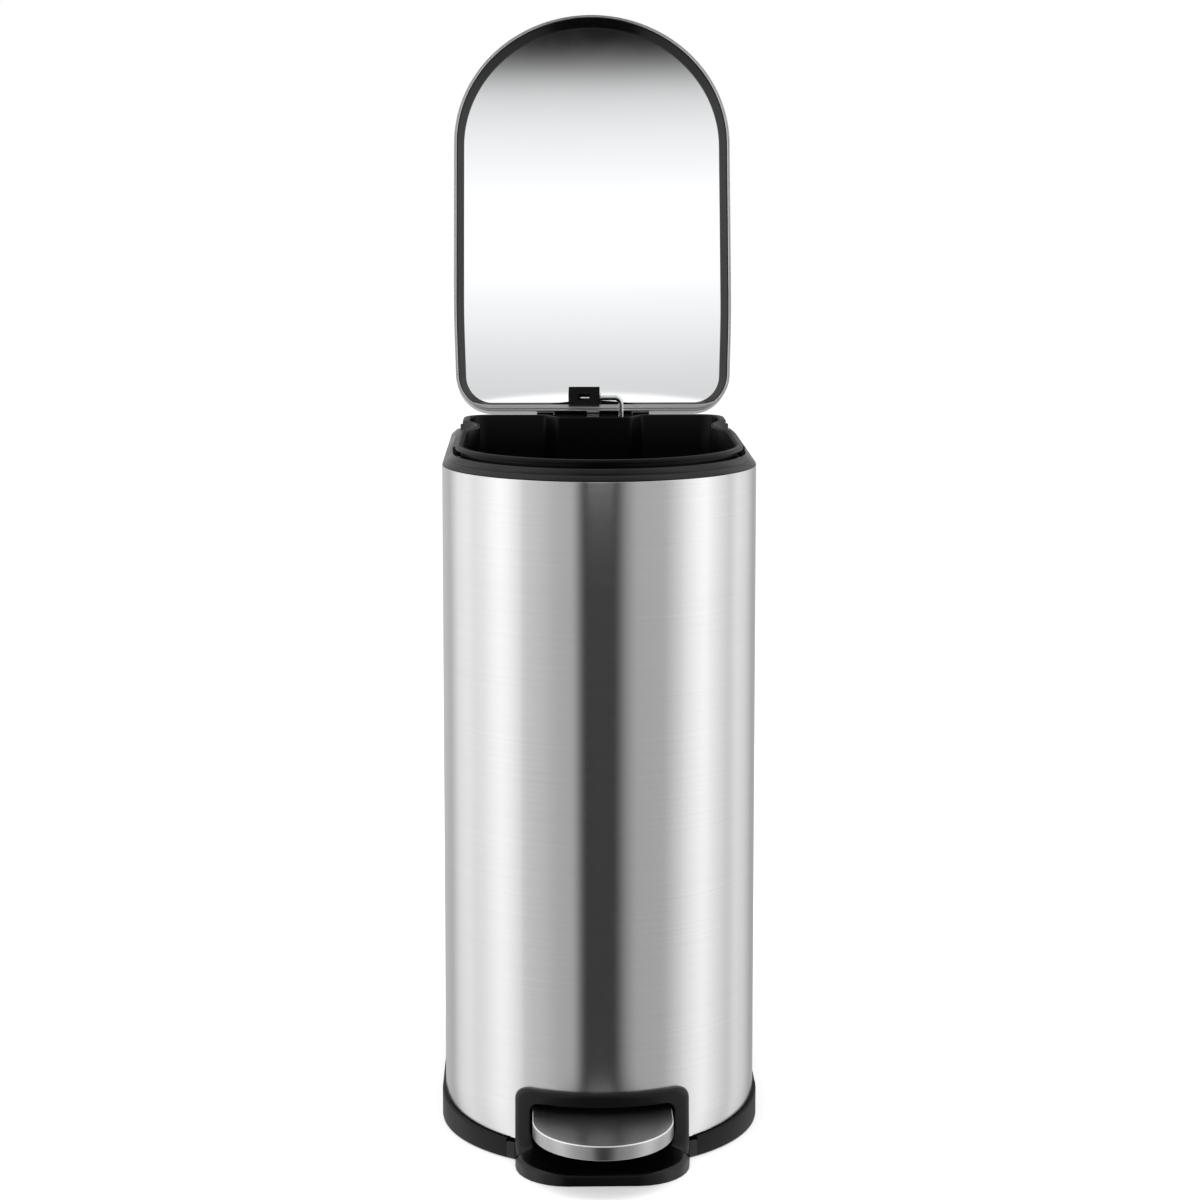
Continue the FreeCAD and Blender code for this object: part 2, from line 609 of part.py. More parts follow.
def drafted_prism(name, top_inset, low, high):
    """A D-plan solid that narrows evenly downwards."""
    body = new_body(name)
    sections = []
    for lift, inset in ((low, f"{top_inset} + bucket_draft"), (high, top_inset)):
        section = new_sketch(body, "section", "XY_Plane", lift)
        draw_body_plan(section, inset)
        sections.append(section)
    doc.recompute()
    loft = body.newObject("PartDesign::AdditiveLoft", "loft")
    loft.Profile = sections[0]
    loft.Sections = sections[1:]
    loft.Ruled = True
    doc.recompute()
    return body


def grip(name, side, radius, low, high):
    """An upright cylinder beside the bucket wall, which makes or cuts a finger recess."""
    x = "half_width - bucket_wall + 71"
    return cylinder(name, (x if side > 0 else f"0 - ( {x} )", "150", low), radius, f"{high} - ( {low} )")


def make_inner_bucket():
    rim, wall, thick = "bucket_rim", "bucket_wall", "bucket_thick"
    outside = cut("bucket_outside", drafted_prism("bucket_loft", wall, "bucket_low", rim),
                  channel("channel_outside", "0", "0", "700"))
    cavity = cut("bucket_cavity", drafted_prism("cavity_loft", f"{wall} + {thick}", f"bucket_low + {thick}",
                                                f"{rim} + 0.01"), channel("channel_inside", "2.3", "0", "700"))
    flange = ring("flange_ring_top", draw_body_plan, "bucket_flange", f"{wall} + 0.5", f"{rim} - 3.4", "3.4")
    fillet(flange, lambda e: at_height(e, rim) and (e.BoundBox.XMax > number("half_width - bucket_flange - 1")
                                                    or e.BoundBox.XMin < number("1 + bucket_flange - half_width")
                                                    or e.BoundBox.YMax > number("back_y - bucket_flange - 1")), "1.5")
    wings = common("wings", ring("wing_ring", draw_body_plan, "8.6", f"{wall} + 0.5", "collar_top + 0.2",
                                 f"{rim} - 3 - collar_top"),
                   box("wing_room", ("0 - 200", "200"), ("9", "back_y - 60"), ("500", "700")))
    trim = cut("flange_trim", fuse("flanges_top", flange, wings), channel("flange_channel", "0", "0", "700"))
    bulges = [common(f"bulge_{side}", grip(f"bulge_round_{side}", sign, "84", f"{rim} - 42", rim),
                     prism(f"bulge_limit_{side}", draw_body_plan, "bucket_flange + 1", f"{rim} - 42", "42"))
              for side, sign in (("right", 1), ("left", -1))]
    hollow = cut("bucket_hollow", outside, cavity)
    fingers = [grip(f"fingers_{side}", sign, "80", f"{rim} - 28", "700") for side, sign in
               (("right", 1), ("left", -1))]
    keep(cut("inner_bucket", fuse("bucket_solid", hollow, trim, *bulges), *fingers), "inner_bucket")


# ---- hinge -------------------------------------------------------------------------------------


def knuckle(name, start, end):
    return cylinder(name, (start, "hinge_y", "hinge_z"), "knuckle_radius", f"{end} - ( {start} )", "X")


def slotted_screw(name, centre, radius, tall):
    """A screw head that faces +Y, with a slot across it."""
    x, y, z = centre
    head = cylinder(f"{name}_head", centre, radius, tall, "Y")
    slot = box(f"{name}_slot", (f"{x} - 0.5", f"{x} + 0.5"), (f"{y} + {tall} / 2", f"{y} + 2 * {tall}"),
               (f"{z} - 5", f"{z} + 5"))
    return cut(f"{name}_solid", head, slot)


def make_body_hinge():
    """Outer knuckles, webs and a plate on the back of the steel body."""
    plate = box("hinge_block", ("0 - 56", "56"), ("back_y", "back_y + 11"), ("552", "body_top + 4"))
    parts = [plate]
    for name, start, end in (("right", "38", "54"), ("left", "0 - 54", "0 - 38")):
        parts.append(knuckle(f"body_knuckle_{name}", start, end))
        parts.append(box(f"web_{name}", (start, end), ("hinge_y - 3.7", "hinge_y + 3.9"),
                         ("body_top", "hinge_z")))
    hole = cylinder("body_pin_hole", ("0 - 60", "hinge_y", "hinge_z"), "pin_radius + 0.02", "120", "X")
    keep(cut("rear_hinge_housing", fuse("hinge_solid", *parts), hole), "rear_hinge_housing")
    keep(cylinder("hinge_pin", ("0 - 55.5", "hinge_y", "hinge_z"), "pin_radius", "111", "X"), "hinge_pin")
    for index, (x, z) in enumerate((("44", "558"), ("0 - 44", "558"), ("20", "570"), ("0 - 20", "570")), start=1):
        keep(slotted_screw(f"hinge_screw_{index}", (x, "back_y + 11", z), "3.2", "1.8"), f"hinge_screw_{index}")


# ---- lid, drawn closed and then turned open about the hinge --------------------------------------


def open_lid(thing, label):
    turn = Rotation(Vector(1, 0, 0), -number("lid_open"))
    pivot = Vector(0, number("hinge_y"), number("hinge_z"))
    thing.Placement = Placement(Vector(), turn, pivot).multiply(thing.Placement)
    keep(thing, label)


def make_lid_shell():
    body = prism("lid_shell", draw_lid_plan, "0", "lid_low", "lid_tall")
    fillet(body, lambda e: at_height(e, "lid_low + lid_tall"), "lid_round")
    hollow = new_sketch(body, "hollow", "XY_Plane", "lid_low + lid_tall - 7")
    draw_lid_plan(hollow, "sheet_thick + 0.3")
    pocket(body, hollow, "lid_tall")
    upper = new_sketch(body, "upper_hollow", "XY_Plane", "lid_low + lid_tall - 1.2")
    draw_lid_plan(upper, "lid_round")
    pocket(body, upper, "8")
    hem = new_sketch(body, "hem", "XY_Plane", "lid_low")
    draw_lid_plan(hem, "0.2")
    draw_lid_plan(hem, "hem_wide")
    pad(body, hem, "hem_tall")
    open_lid(body, "lid_shell")


def make_lid_inside():
    """A black frame with a bevelled band, a polished inner panel, and the hinge's own pieces."""
    low, panel = "lid_low + hem_tall", "lid_low + panel_deep"
    frame = ring("frame_ring_lid", draw_lid_plan, "sheet_thick + 0.7", "band_wide", low, f"{panel} - ( {low} )")
    inner = lambda e: at_height(e, low) and (
        e.BoundBox.XLength < number("2 * lid_half - 12") and e.BoundBox.YMax < number("lid_back - 5")
        and not (abs(e.BoundBox.XMax) > number("lid_half - 5") or abs(e.BoundBox.XMin) > number("lid_half - 5")))
    chamfer(frame, inner, "band_wide - hem_wide - 0.4", f"{panel} - ( {low} ) - 1.4", flip=True)
    lens = common("lens", box("lens_box", ("0 - 55", "55"), ("lid_back - 15", "lid_back - sheet_thick - 0.7"),
                              (f"{low} + 0.3", f"{panel}")),
                  cylinder("lens_round", ("0", "lid_back - 10.5 + 255", "500"), "255", "200"))
    bracket_block = box("bracket_block", ("0 - 23.5", "6"), ("hinge_y - 26.2", "hinge_y - 10"),
                        ("hinge_z - 22", panel))
    reach = math.radians(number("lid_open"))
    dy, dz = number("rod_y - hinge_y"), number("rod_head - hinge_z")
    pin_y = number("hinge_y") + dy * math.cos(reach) - dz * math.sin(reach)
    pin_z = number("hinge_z") + dy * math.sin(reach) + dz * math.cos(reach)
    window = box("bracket_window", ("0 - 15", "0 - 3.9"), (pin_y - 2.8, pin_y + 2.8),
                 ("hinge_z - 23", f"{panel} + 1"))
    pin_hole = cylinder("bracket_hole", ("0 - 5", pin_y, pin_z), "rod_radius + run_play", "14", "X")
    bracket = cut("bracket", bracket_block, window, pin_hole, lens)
    lens_copy = doc.addObject("Part::Refine", "lens_plate")
    lens_copy.Source = lens
    open_lid(cut("lid_frame", frame, lens, bracket_block), "lid_frame")
    open_lid(lens_copy, "lid_hinge_plate")
    open_lid(bracket, "lid_rod_bracket")
    liner = prism("lid_liner", draw_lid_plan, "band_wide - 4", panel, "1")
    open_lid(liner, "lid_liner")


def make_lid_hinge():
    leaf = box("leaf", ("0 - 37.6", "37.6"), ("lid_back + 0.02", "lid_back + 1.4"), ("hinge_z", "hinge_z + 15"))
    parts = [leaf]
    for name, start, end in (("right", "6", "37.6"), ("left", "0 - 37.6", "0 - 6")):
        parts.append(knuckle(f"lid_knuckle_{name}", start, end))
    hole = cylinder("lid_pin_hole", ("0 - 60", "hinge_y", "hinge_z"), "pin_radius + run_play", "120", "X")
    gap = box("leaf_gap", ("0 - 6", "6"), ("lid_back - 2", "lid_back + 9"), ("hinge_z - 6", "hinge_z + 5"))
    open_lid(cut("lid_knuckles", fuse("leaf_solid", *parts), hole, gap), "lid_knuckles")
    for index, x in enumerate(("0 - 30", "0 - 14", "14", "30"), start=1):
        open_lid(slotted_screw(f"lid_screw_{index}", (x, "lid_back + 1.4", "hinge_z + 10"), "2.8", "1.4"),
                 f"lid_screw_{index}")


# ---- check and write ---------------------------------------------------------------------------


def check_document():
    doc.recompute()
    for thing in doc.Objects:
        if {"Invalid", "Error"} & set(thing.State):
            raise RuntimeError(f"{thing.Label}: {thing.State}")
    for node in nodes:
        shape = node.Shape
        if shape.isNull() or not shape.isValid() or not shape.Solids:
            raise RuntimeError(f"{node.Label}: shape is null, invalid or holds no solid")


def write_parts():
    os.makedirs("parts", exist_ok=True)
    for node in nodes:
        node.Shape.exportStep(os.path.join("parts", f"{node.Label}.step"))
        box_of = node.Shape.BoundBox
        print(f"{node.Label:26s} solids {len(node.Shape.Solids)} volume {node.Shape.Volume / 1000:9.2f} cm3 "
              f"x {box_of.XMin:7.1f} {box_of.XMax:7.1f} y {box_of.YMin:7.1f} {box_of.YMax:7.1f} "
              f"z {box_of.ZMin:7.1f} {box_of.ZMax:7.1f}")


fill_sheet()
make_outer_shell()
make_base_ring()
make_base_floor()
make_pedal_housing()
make_pedal()
make_lever()
make_lever_fork()
make_pivot()
make_return_spring()
make_push_rod()
make_rod_guide()
make_top_collar()
make_inner_bucket()
make_body_hinge()
make_lid_shell()
make_lid_inside()
make_lid_hinge()
check_document()
write_parts()
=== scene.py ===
"""Looks of a pedal trash can: brushed steel body, black base and rim, lid with a polished lining.

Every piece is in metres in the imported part's own frame: +Z up, -Y the front, the origin on the floor.
Shapes are sheets of points worked out with numpy: a profile carried round the can's D-shaped plan, a tube
along a path, or a height field. The lid is worked out closed and then turned open about its hinge.
"""
import json
import math

import bpy
import numpy as np
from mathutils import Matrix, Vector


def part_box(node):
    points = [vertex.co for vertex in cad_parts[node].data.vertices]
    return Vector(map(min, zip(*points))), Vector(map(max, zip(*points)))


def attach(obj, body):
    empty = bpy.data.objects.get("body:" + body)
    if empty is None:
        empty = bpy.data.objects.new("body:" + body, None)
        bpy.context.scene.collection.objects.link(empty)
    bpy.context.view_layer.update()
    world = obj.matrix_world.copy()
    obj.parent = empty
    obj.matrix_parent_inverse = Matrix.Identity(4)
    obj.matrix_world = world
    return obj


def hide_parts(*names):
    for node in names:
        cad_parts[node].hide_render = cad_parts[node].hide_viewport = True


bl_info = {
    "name": "Pedal Trash Can",
    "version": (1, 0, 0),
    "blender": (4, 5, 0),
    "location": "View3D > Sidebar > Trash Can",
    "description": "Builds the looks of a D-plan pedal trash can around its packed parts",
    "category": "Add Mesh",
}

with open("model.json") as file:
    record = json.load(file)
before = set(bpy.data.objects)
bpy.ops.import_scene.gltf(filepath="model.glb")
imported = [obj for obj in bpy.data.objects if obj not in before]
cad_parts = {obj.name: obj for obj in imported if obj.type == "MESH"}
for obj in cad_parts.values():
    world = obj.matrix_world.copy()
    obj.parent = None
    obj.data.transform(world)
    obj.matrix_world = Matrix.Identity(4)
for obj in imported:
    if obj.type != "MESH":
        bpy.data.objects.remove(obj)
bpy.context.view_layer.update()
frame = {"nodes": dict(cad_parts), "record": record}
MM = 0.001
NODES = frame["nodes"]
JOINTS = {joint["name"]: joint for joint in frame["record"]["behaviour"]["joints"]}


def corners(node):
    """Lowest and highest corner of a CAD node, in millimetres."""
    low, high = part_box(node)
    return np.array(low) / MM, np.array(high) / MM


# ---- sizes read from the frame, in millimetres ------------------------------------------------------

SHELL_LOW, SHELL_HIGH = corners("outer_shell")
HALF_WIDTH, ARCH, BACK, BODY_TOP = SHELL_HIGH[0], -SHELL_LOW[1], SHELL_HIGH[1], SHELL_HIGH[2]
CORNER = 35.0
# Finger recesses of the bucket: centre of each side's circle. Channel in its back: face, half width, flare.
FINGERS_X, FINGERS_Y = 190, 150
CHANNEL_FACE, CHANNEL_HALF, CHANNEL_FLARE = 223.5, 33, 0.52
COLLAR_TOP = 581
HINGE_Y, HINGE_Z = (value / MM for value in JOINTS["lid_hinge"]["pos_m"][1:])
LID_OPEN = math.radians(JOINTS["lid_hinge"]["range_deg"][1])


# ---- plan and surfaces ------------------------------------------------------------------------------


def plan(half, arch, back, corner, marks=()):
    """The D outline seen from above, as points and outward normals, anticlockwise from the left side.

    Front: x = half sin(t), y = -arch cos(t) with t from -90 to 90 degrees. Then a straight right side, a
    quarter circle, the flat back, a quarter circle and the left side. marks are x places, on the front and
    the back, that must be points of the outline.
    """
    t = np.radians(np.arange(-90, 90, 1.5))
    t = np.unique(np.concatenate([t, [math.asin(x / half) for x in marks]]))
    sides = np.arange(0, back - corner, 3.0)[:, None]
    across = np.linspace(half - corner, corner - half, 25)[1:-1]
    across = np.unique(np.concatenate([across, marks]))[::-1][:, None]
    turn = np.radians(np.linspace(0, 90, 13))
    right = np.column_stack([np.cos(turn), np.sin(turn)])
    left = np.column_stack([-np.sin(turn), np.cos(turn)])
    points = [np.column_stack([half * np.sin(t), -arch * np.cos(t)]),
              np.hstack([sides * 0 + half, sides]), right * corner + [half - corner, back - corner],
              np.hstack([across, across * 0 + back]), left * corner + [corner - half, back - corner],
              np.hstack([sides * 0 - half, sides])[::-1][:-1]]
    normals = [np.column_stack([np.sin(t) / half, -np.cos(t) / arch]), np.tile([1.0, 0.0], (len(sides), 1)),
               right, np.tile([0.0, 1.0], (len(across), 1)), left, np.tile([-1.0, 0.0], (len(sides) - 1, 1))]
    points, normals = np.vstack(points), np.vstack(normals)
    return points, normals / np.linalg.norm(normals, axis=1, keepdims=True)


def carry(outline, profile, rise=0.0):
    """Carry a profile round an outline. Row i stands off the outline by profile[i, 0], at height
    profile[i, 1] plus rise times profile[i, 2]; each may differ from column to column."""
    points, normals = outline
    rows = []
    for step in profile:
        off, height, weight = (tuple(step) + (0.0,))[:3]
        flat = points + np.broadcast_to(off, len(points))[:, None] * normals
        rows.append(np.column_stack([flat, np.broadcast_to(height + weight * rise, len(points))]))
    return np.stack(rows)


def rounded(path, reach, steps=6, most=0.49):
    """Round the inner corners of an open path, or of many paths side by side. Each corner becomes a cubic
    curve that leaves and joins the straight runs at a distance of reach, or the share most of a shorter run,
    close to a circle's arc."""
    path = np.asarray(path, float)
    reach = np.broadcast_to(np.asarray(reach, float), len(path) - 2)
    reach = reach.reshape((-1,) + (1,) * (path.ndim - 1))
    before, here, after = path[:-2], path[1:-1], path[2:]

    def toward(target):
        way = target - here
        length = np.maximum(np.linalg.norm(way, axis=-1, keepdims=True), 1e-6)
        return here + way * np.minimum(reach, length * most) / length
    start, end = toward(before), toward(after)
    t = np.linspace(0, 1, steps).reshape((1, -1) + (1,) * (path.ndim - 1))
    start, here, end = start[:, None], here[:, None], end[:, None]
    pull = 0.5523
    curve = ((1 - t) ** 3 * start + 3 * (1 - t) ** 2 * t * (start + (here - start) * pull)
             + 3 * (1 - t) * t ** 2 * (end + (here - end) * pull) + t ** 3 * end)
    return np.concatenate([path[:1], curve.reshape((-1,) + path.shape[1:]), path[-1:]])


def stretch(outline, start, stop):
    """The part of an outline from the column nearest start to the column nearest stop, going round."""
    points, normals = outline
    first = int(np.argmin(np.linalg.norm(points - start, axis=1)))
    last = int(np.argmin(np.linalg.norm(points - stop, axis=1)))
    columns = np.arange(first, last + 1 if last > first else last + 1 + len(points)) % len(points)
    return points[columns], normals[columns]


def opened(grid):
    """Turn points of the closed lid about its hinge to where the lid stands open."""
    y, z = grid[..., 1] - HINGE_Y, grid[..., 2] - HINGE_Z
    c, s = math.cos(-LID_OPEN), math.sin(-LID_OPEN)
    return np.stack([grid[..., 0], HINGE_Y + c * y - s * z, HINGE_Z + s * y + c * z], axis=-1)


def sheet(grid, wrap_rows=False, wrap_columns=True, first=False, last=False, sides=False, holes=None):
    """Faces of a grid of points that face the side from which columns run right and rows run up. first and
    last close the first and last row with one flat face each; sides closes both ends of a stretch; holes are
    quads to leave out."""
    rows, columns = grid.shape[:2]
    row = np.arange(rows if wrap_rows else rows - 1)[:, None]
    column = np.arange(columns if wrap_columns else columns - 1)[None]
    up, right = (row + 1) % rows, (column + 1) % columns
    quads = np.stack([row * columns + column, row * columns + right, up * columns + right,
                      up * columns + column], axis=-1).reshape(-1, 4)
    if holes is not None:
        middle = grid.reshape(-1, 3)[quads].mean(axis=1)
        quads = quads[~holes(middle)]
    faces = quads.tolist()
    if first:
        faces.append(list(range(columns))[::-1])
    if last:
        faces.append(list(range((rows - 1) * columns, rows * columns)))
    if sides:
        faces.append((np.arange(rows) * columns).tolist())
        faces.append((np.arange(rows) * columns + columns - 1).tolist()[::-1])
    return faces


def new_piece(name, body, slot, replaced, *parts):
    """One object from grids in millimetres and their faces. It rides on a body and takes a record slot."""
    points, faces, count = [], [], 0
    for grid, part_faces in parts:
        points.append(np.asarray(grid).reshape(-1, 3))
        faces += [[index + count for index in face] for face in part_faces]
        count += len(points[-1])
    mesh = bpy.data.meshes.new(name)
    mesh.from_pydata((np.vstack(points) * MM).tolist(), [], faces)
    mesh.validate()
    mesh.shade_smooth()
    piece = bpy.data.objects.new(name, mesh)
    bpy.context.scene.collection.objects.link(piece)
    mesh.materials.append(bpy.data.materials[slot])
    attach(piece, body)
    if replaced:
        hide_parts(*replaced)
    return piece


def sharpen(piece, degrees=38):
    """Keep edges crisp where faces meet at more than an angle."""
    piece.data.set_sharp_from_angle(angle=math.radians(degrees))


# ---- materials --------------------------------------------------------------------------------------

# How much longer than wide a scratch of the brushing is drawn.
SCRATCH_LENGTH = 400

def linear(hex_colour):
    """An sRGB hex colour as linear RGBA. A colour that is linear already is passed on."""
    if not isinstance(hex_colour, str):
        return tuple(hex_colour)
    parts = [int(hex_colour[i:i + 2], 16) / 255 for i in (1, 3, 5)]
    return tuple(c / 12.92 if c <= 0.04045 else ((c + 0.055) / 1.055) ** 2.4 for c in parts) + (1.0,)


def add(tree, kind, links=None, **settings):
    """Add a node. settings are its properties, or its sockets by name with underscores for spaces; links join
    a socket, named or numbered, to another node's output."""
    node = tree.nodes.new(kind)
    for name, value in settings.items():
        if hasattr(node, name):
            setattr(node, name, value)
        else:
            node.inputs[name.replace("_", " ")].default_value = value
    for socket, output in (links or {}).items():
        tree.links.new(output, node.inputs[socket])
    return node


def new_finish(name):
    """An empty node tree with its material output. A material that the frame brought along is used again."""
    material = bpy.data.materials.get(name) or bpy.data.materials.new(name)
    material.use_nodes = True
    material.node_tree.nodes.clear()
    tree = material.node_tree
    return tree, add(tree, "ShaderNodeOutputMaterial")


def brushed_finish(name, colour, roughness, anisotropy, line_mm, along, tangent):
    """Stainless steel ground with a belt: fine scratches run one way, so light spreads across them.

    Scratches are noise stretched SCRATCH_LENGTH times along some axes. Real ones are about 0.05 mm apart,
    which is too fine to show, so line_mm draws them coarser. A second noise, 3 mm high and 400 mm long, gives
    the slow unevenness of a ground sheet.
    """
    tree, output = new_finish(name)
    place = add(tree, "ShaderNodeTexCoord").outputs["Object"]
    spread = [1 / (line_mm * MM)] * 3
    for axis in along:
        spread[axis] /= SCRATCH_LENGTH
    stretched = add(tree, "ShaderNodeMapping", {"Vector": place}, Scale=spread)
    scratch = add(tree, "ShaderNodeTexNoise", {"Vector": stretched.outputs[0]},
                  Scale=1.0, Detail=4.0, Roughness=0.62)
    wide = [1 / (400 * MM) if axis in along else 1 / (3 * MM) for axis in range(3)]
    cloud_place = add(tree, "ShaderNodeMapping", {"Vector": place}, Scale=wide)
    cloud = add(tree, "ShaderNodeTexNoise", {"Vector": cloud_place.outputs[0]}, Scale=1.0, Detail=2.0)
    faint = add(tree, "ShaderNodeMath", {0: cloud.outputs["Fac"]}, operation="MULTIPLY")
    faint.inputs[1].default_value = 0.25
    both = add(tree, "ShaderNodeMath", {0: scratch.outputs["Fac"], 1: faint.outputs[0]}, operation="ADD")
    tone = add(tree, "ShaderNodeMapRange", {"Value": both.outputs[0]}, From_Min=0.4, From_Max=0.85,
               To_Min=0.965, To_Max=1.035)
    shade = add(tree, "ShaderNodeVectorMath", {"Scale": tone.outputs[0]}, operation="SCALE")
    shade.inputs[0].default_value = linear(colour)[:3]
    rough = add(tree, "ShaderNodeMapRange", {"Value": scratch.outputs["Fac"]}, From_Min=0.3, From_Max=0.7,
                To_Min=roughness - 0.02, To_Max=roughness + 0.03)
    bump = add(tree, "ShaderNodeBump", {"Height": scratch.outputs["Fac"]}, Strength=0.10, Distance=0.0002)
    direction = add(tree, "ShaderNodeCombineXYZ", X=tangent[0], Y=tangent[1], Z=tangent[2])
    shader = add(tree, "ShaderNodeBsdfPrincipled", {
        "Base Color": shade.outputs[0], "Roughness": rough.outputs[0], "Normal": bump.outputs[0],
        "Tangent": direction.outputs[0]}, Metallic=1.0, Anisotropic=anisotropy)
    tree.links.new(shader.outputs[0], output.inputs[0])


def mirror_finish(name, colour, roughness):
    """Bright annealed steel sheet, rolled smooth: nearly a mirror, with a faint haze."""
    tree, output = new_finish(name)
    place = add(tree, "ShaderNodeTexCoord").outputs["Object"]
    haze = add(tree, "ShaderNodeTexNoise", {"Vector": place}, Scale=30.0, Detail=3.0)
    rough = add(tree, "ShaderNodeMapRange", {"Value": haze.outputs["Fac"]}, From_Min=0.3, From_Max=0.7,
                To_Min=roughness * 0.85, To_Max=roughness * 1.15)
    shader = add(tree, "ShaderNodeBsdfPrincipled", {"Roughness": rough.outputs[0]},
                 Base_Color=linear(colour), Metallic=1.0)
    tree.links.new(shader.outputs[0], output.inputs[0])


def plastic_finish(name, colour, roughness, grain_mm, depth, gloss=0.22, coat=0.0):
    """Moulded polypropylene: dark, softly glossy, with the fine grain of an etched mould. The real grain is
    about 0.1 mm, which is too fine to show, so grain_mm draws it coarser."""
    tree, output = new_finish(name)
    place = add(tree, "ShaderNodeTexCoord").outputs["Object"]
    grain = add(tree, "ShaderNodeTexNoise", {"Vector": place},
                Scale=1 / (grain_mm * MM), Detail=3.0, Roughness=0.6)
    flow = add(tree, "ShaderNodeTexNoise", {"Vector": place}, Scale=12.0, Detail=2.0)
    rough = add(tree, "ShaderNodeMapRange", {"Value": flow.outputs["Fac"]}, From_Min=0.3, From_Max=0.7,
                To_Min=roughness - 0.05, To_Max=roughness + 0.05)
    tone = add(tree, "ShaderNodeMapRange", {"Value": grain.outputs["Fac"]},
               From_Min=0.3, From_Max=0.7, To_Min=0.8, To_Max=1.2)
    shade = add(tree, "ShaderNodeVectorMath", {"Scale": tone.outputs[0]}, operation="SCALE")
    shade.inputs[0].default_value = linear(colour)[:3]
    bump = add(tree, "ShaderNodeBump", {"Height": grain.outputs["Fac"]}, Strength=0.25, Distance=depth * MM)
    shader = add(tree, "ShaderNodeBsdfPrincipled", {
        "Base Color": shade.outputs[0], "Roughness": rough.outputs[0], "Normal": bump.outputs[0]},
        IOR=1.45, Specular_IOR_Level=gloss, Coat_Weight=coat, Coat_Roughness=0.2)
    tree.links.new(shader.outputs[0], output.inputs[0])


def wire_finish(name, colour, roughness):
    """Plated steel wire or stamping: bright, with dull spots in the plating."""
    tree, output = new_finish(name)
    place = add(tree, "ShaderNodeTexCoord").outputs["Object"]
    spots = add(tree, "ShaderNodeTexNoise", {"Vector": place}, Scale=400.0, Detail=3.0)
    rough = add(tree, "ShaderNodeMapRange", {"Value": spots.outputs["Fac"]}, From_Min=0.3, From_Max=0.7,
                To_Min=roughness * 0.7, To_Max=roughness * 1.3)
    shader = add(tree, "ShaderNodeBsdfPrincipled", {"Roughness": rough.outputs[0]},
                 Base_Color=linear(colour), Metallic=1.0)
    tree.links.new(shader.outputs[0], output.inputs[0])


def colour(name, description, default):
    """A colour that a user can change, from its sRGB hex value."""
    return bpy.props.FloatVectorProperty(name=name, description=description, default=linear(default), size=4,
                                         min=0, max=1, subtype="COLOR")


def length(name, description, default):
    """A length that a user can change, from millimetres."""
    return bpy.props.FloatProperty(name=name, description=description, default=default * MM, min=0,
                                   unit="LENGTH")


class Finishes(bpy.types.PropertyGroup):
    steel: colour("Steel", "Brushed steel of the body and the lid", "#dcdcdd")
    # The pedal's top is set darker than the steel: painted shade.
    pedal: colour("Pedal", "Brushed steel of the pedal's top", "#acacad")
    polish: colour("Polished steel", "Lining of the lid", "#f3f4f5")
    black: colour("Black", "Moulded plastic of the base, the hoop, the rim and the lid's band", "#0b0b0c")
    bucket: colour("Bucket", "Bucket that lifts out", "#040404")
    scratch: length("Scratch spacing", "Distance between the lines of the body's brushing", 0.35)


class Sizes(bpy.types.PropertyGroup):
    sheet: length("Sheet", "Thickness of the steel of the body", 0.7)
    pedal_bend: length("Pedal bend", "Bend between the pedal's top and its skirt", 1.1)
    foot_round: length("Foot corner", "Rounding of the foot's front corners, seen from above", 44)
    bucket_rim: length("Bucket rim", "Height of the bucket's rim above the floor", 593)
    rod: length("Push rod", "Radius of the bent wire", 2.5)


class MakeFinishes(bpy.types.Operator):
    """Make every material and put it on the CAD nodes that keep their own shape."""

    bl_idname = "trash_can.make_finishes"
    bl_label = "Finishes"

    def execute(self, context):
        look = context.scene.trash_can_finishes
        # Body: light runs up and down it in soft upright bands, crossed by fine level lines.
        brushed_finish("brushed_steel", look.steel, 0.15, 1.0, look.scratch / MM, (0, 1), (0, 0, 1))
        # Pedal's top: a dim, even grey, since it looks up at the dark above the studio; its colour is also
        # set darker than the body's steel, painted shade.
        brushed_finish("brushed_pedal_steel", look.pedal, 0.24, 0.9, 0.3, (0,), (0, 0.7, 0.7))
        # Pedal's skirt: bright at both sides and darker in the middle, like the body.
        brushed_finish("brushed_skirt_steel", "#b2b2b3", 0.30, 0.6, 0.3, (0, 1), (0, 0, 1))
        # Bends of the pedal: a painted highlight, pure white steel that draws the thin bright line where the
        # skirt meets the top.
        wire_finish("painted_highlight_edge_steel", "#ffffff", 0.5)
        # Lid's rolled rim: the same steel, softer because it was ground after rolling.
        brushed_finish("lid_steel", look.steel, 0.28, 0.6, 0.5, (0,), (0, 0.2, 1))
        # Lid's lining: a mirror that fades from dark at the top to white at the hinge.
        mirror_finish("polished_steel", look.polish, 0.035)
        # Base ring and hidden mouldings: dull black with a soft grain.
        plastic_finish("black_plastic", look.black, 0.42, 0.5, 0.05)
        # Hoop and collar: deep black with a broad, quiet sheen on the bends.
        plastic_finish("satin_black_plastic", look.black, 0.27, 0.6, 0.02, gloss=0.4)
        # Lid's band: black that catches grey streaks where it turns.
        plastic_finish("band_black_plastic", look.black, 0.22, 0.8, 0.01, gloss=0.36)
        # Lid's bracket and hinge cover: the glossiest black.
        plastic_finish("gloss_black_plastic", "#09090a", 0.22, 0.9, 0.01, coat=0.2)
        # Bucket: nearly black inside, with just enough sheen to show its channel.
        plastic_finish("bucket_plastic", look.bucket, 0.34, 0.5, 0.02, gloss=0.2)
        # Feet: matt dark grey.
        plastic_finish("rubber", "#1c1c1c", 0.75, 0.4, 0.05)
        # Lever, screws and pins: dull bright plating.
        wire_finish("zinc_steel", "#b9bcc0", 0.35)
        # Push rod: bright plating that shows as a white line.
        wire_finish("chrome_wire", "#f2f2f4", 0.24)
        for part in frame["record"]["subparts"]:
            node = NODES[part["node"]]
            node.data.materials.clear()
            node.data.materials.append(bpy.data.materials[part["material_slot"]])
        return {"FINISHED"}


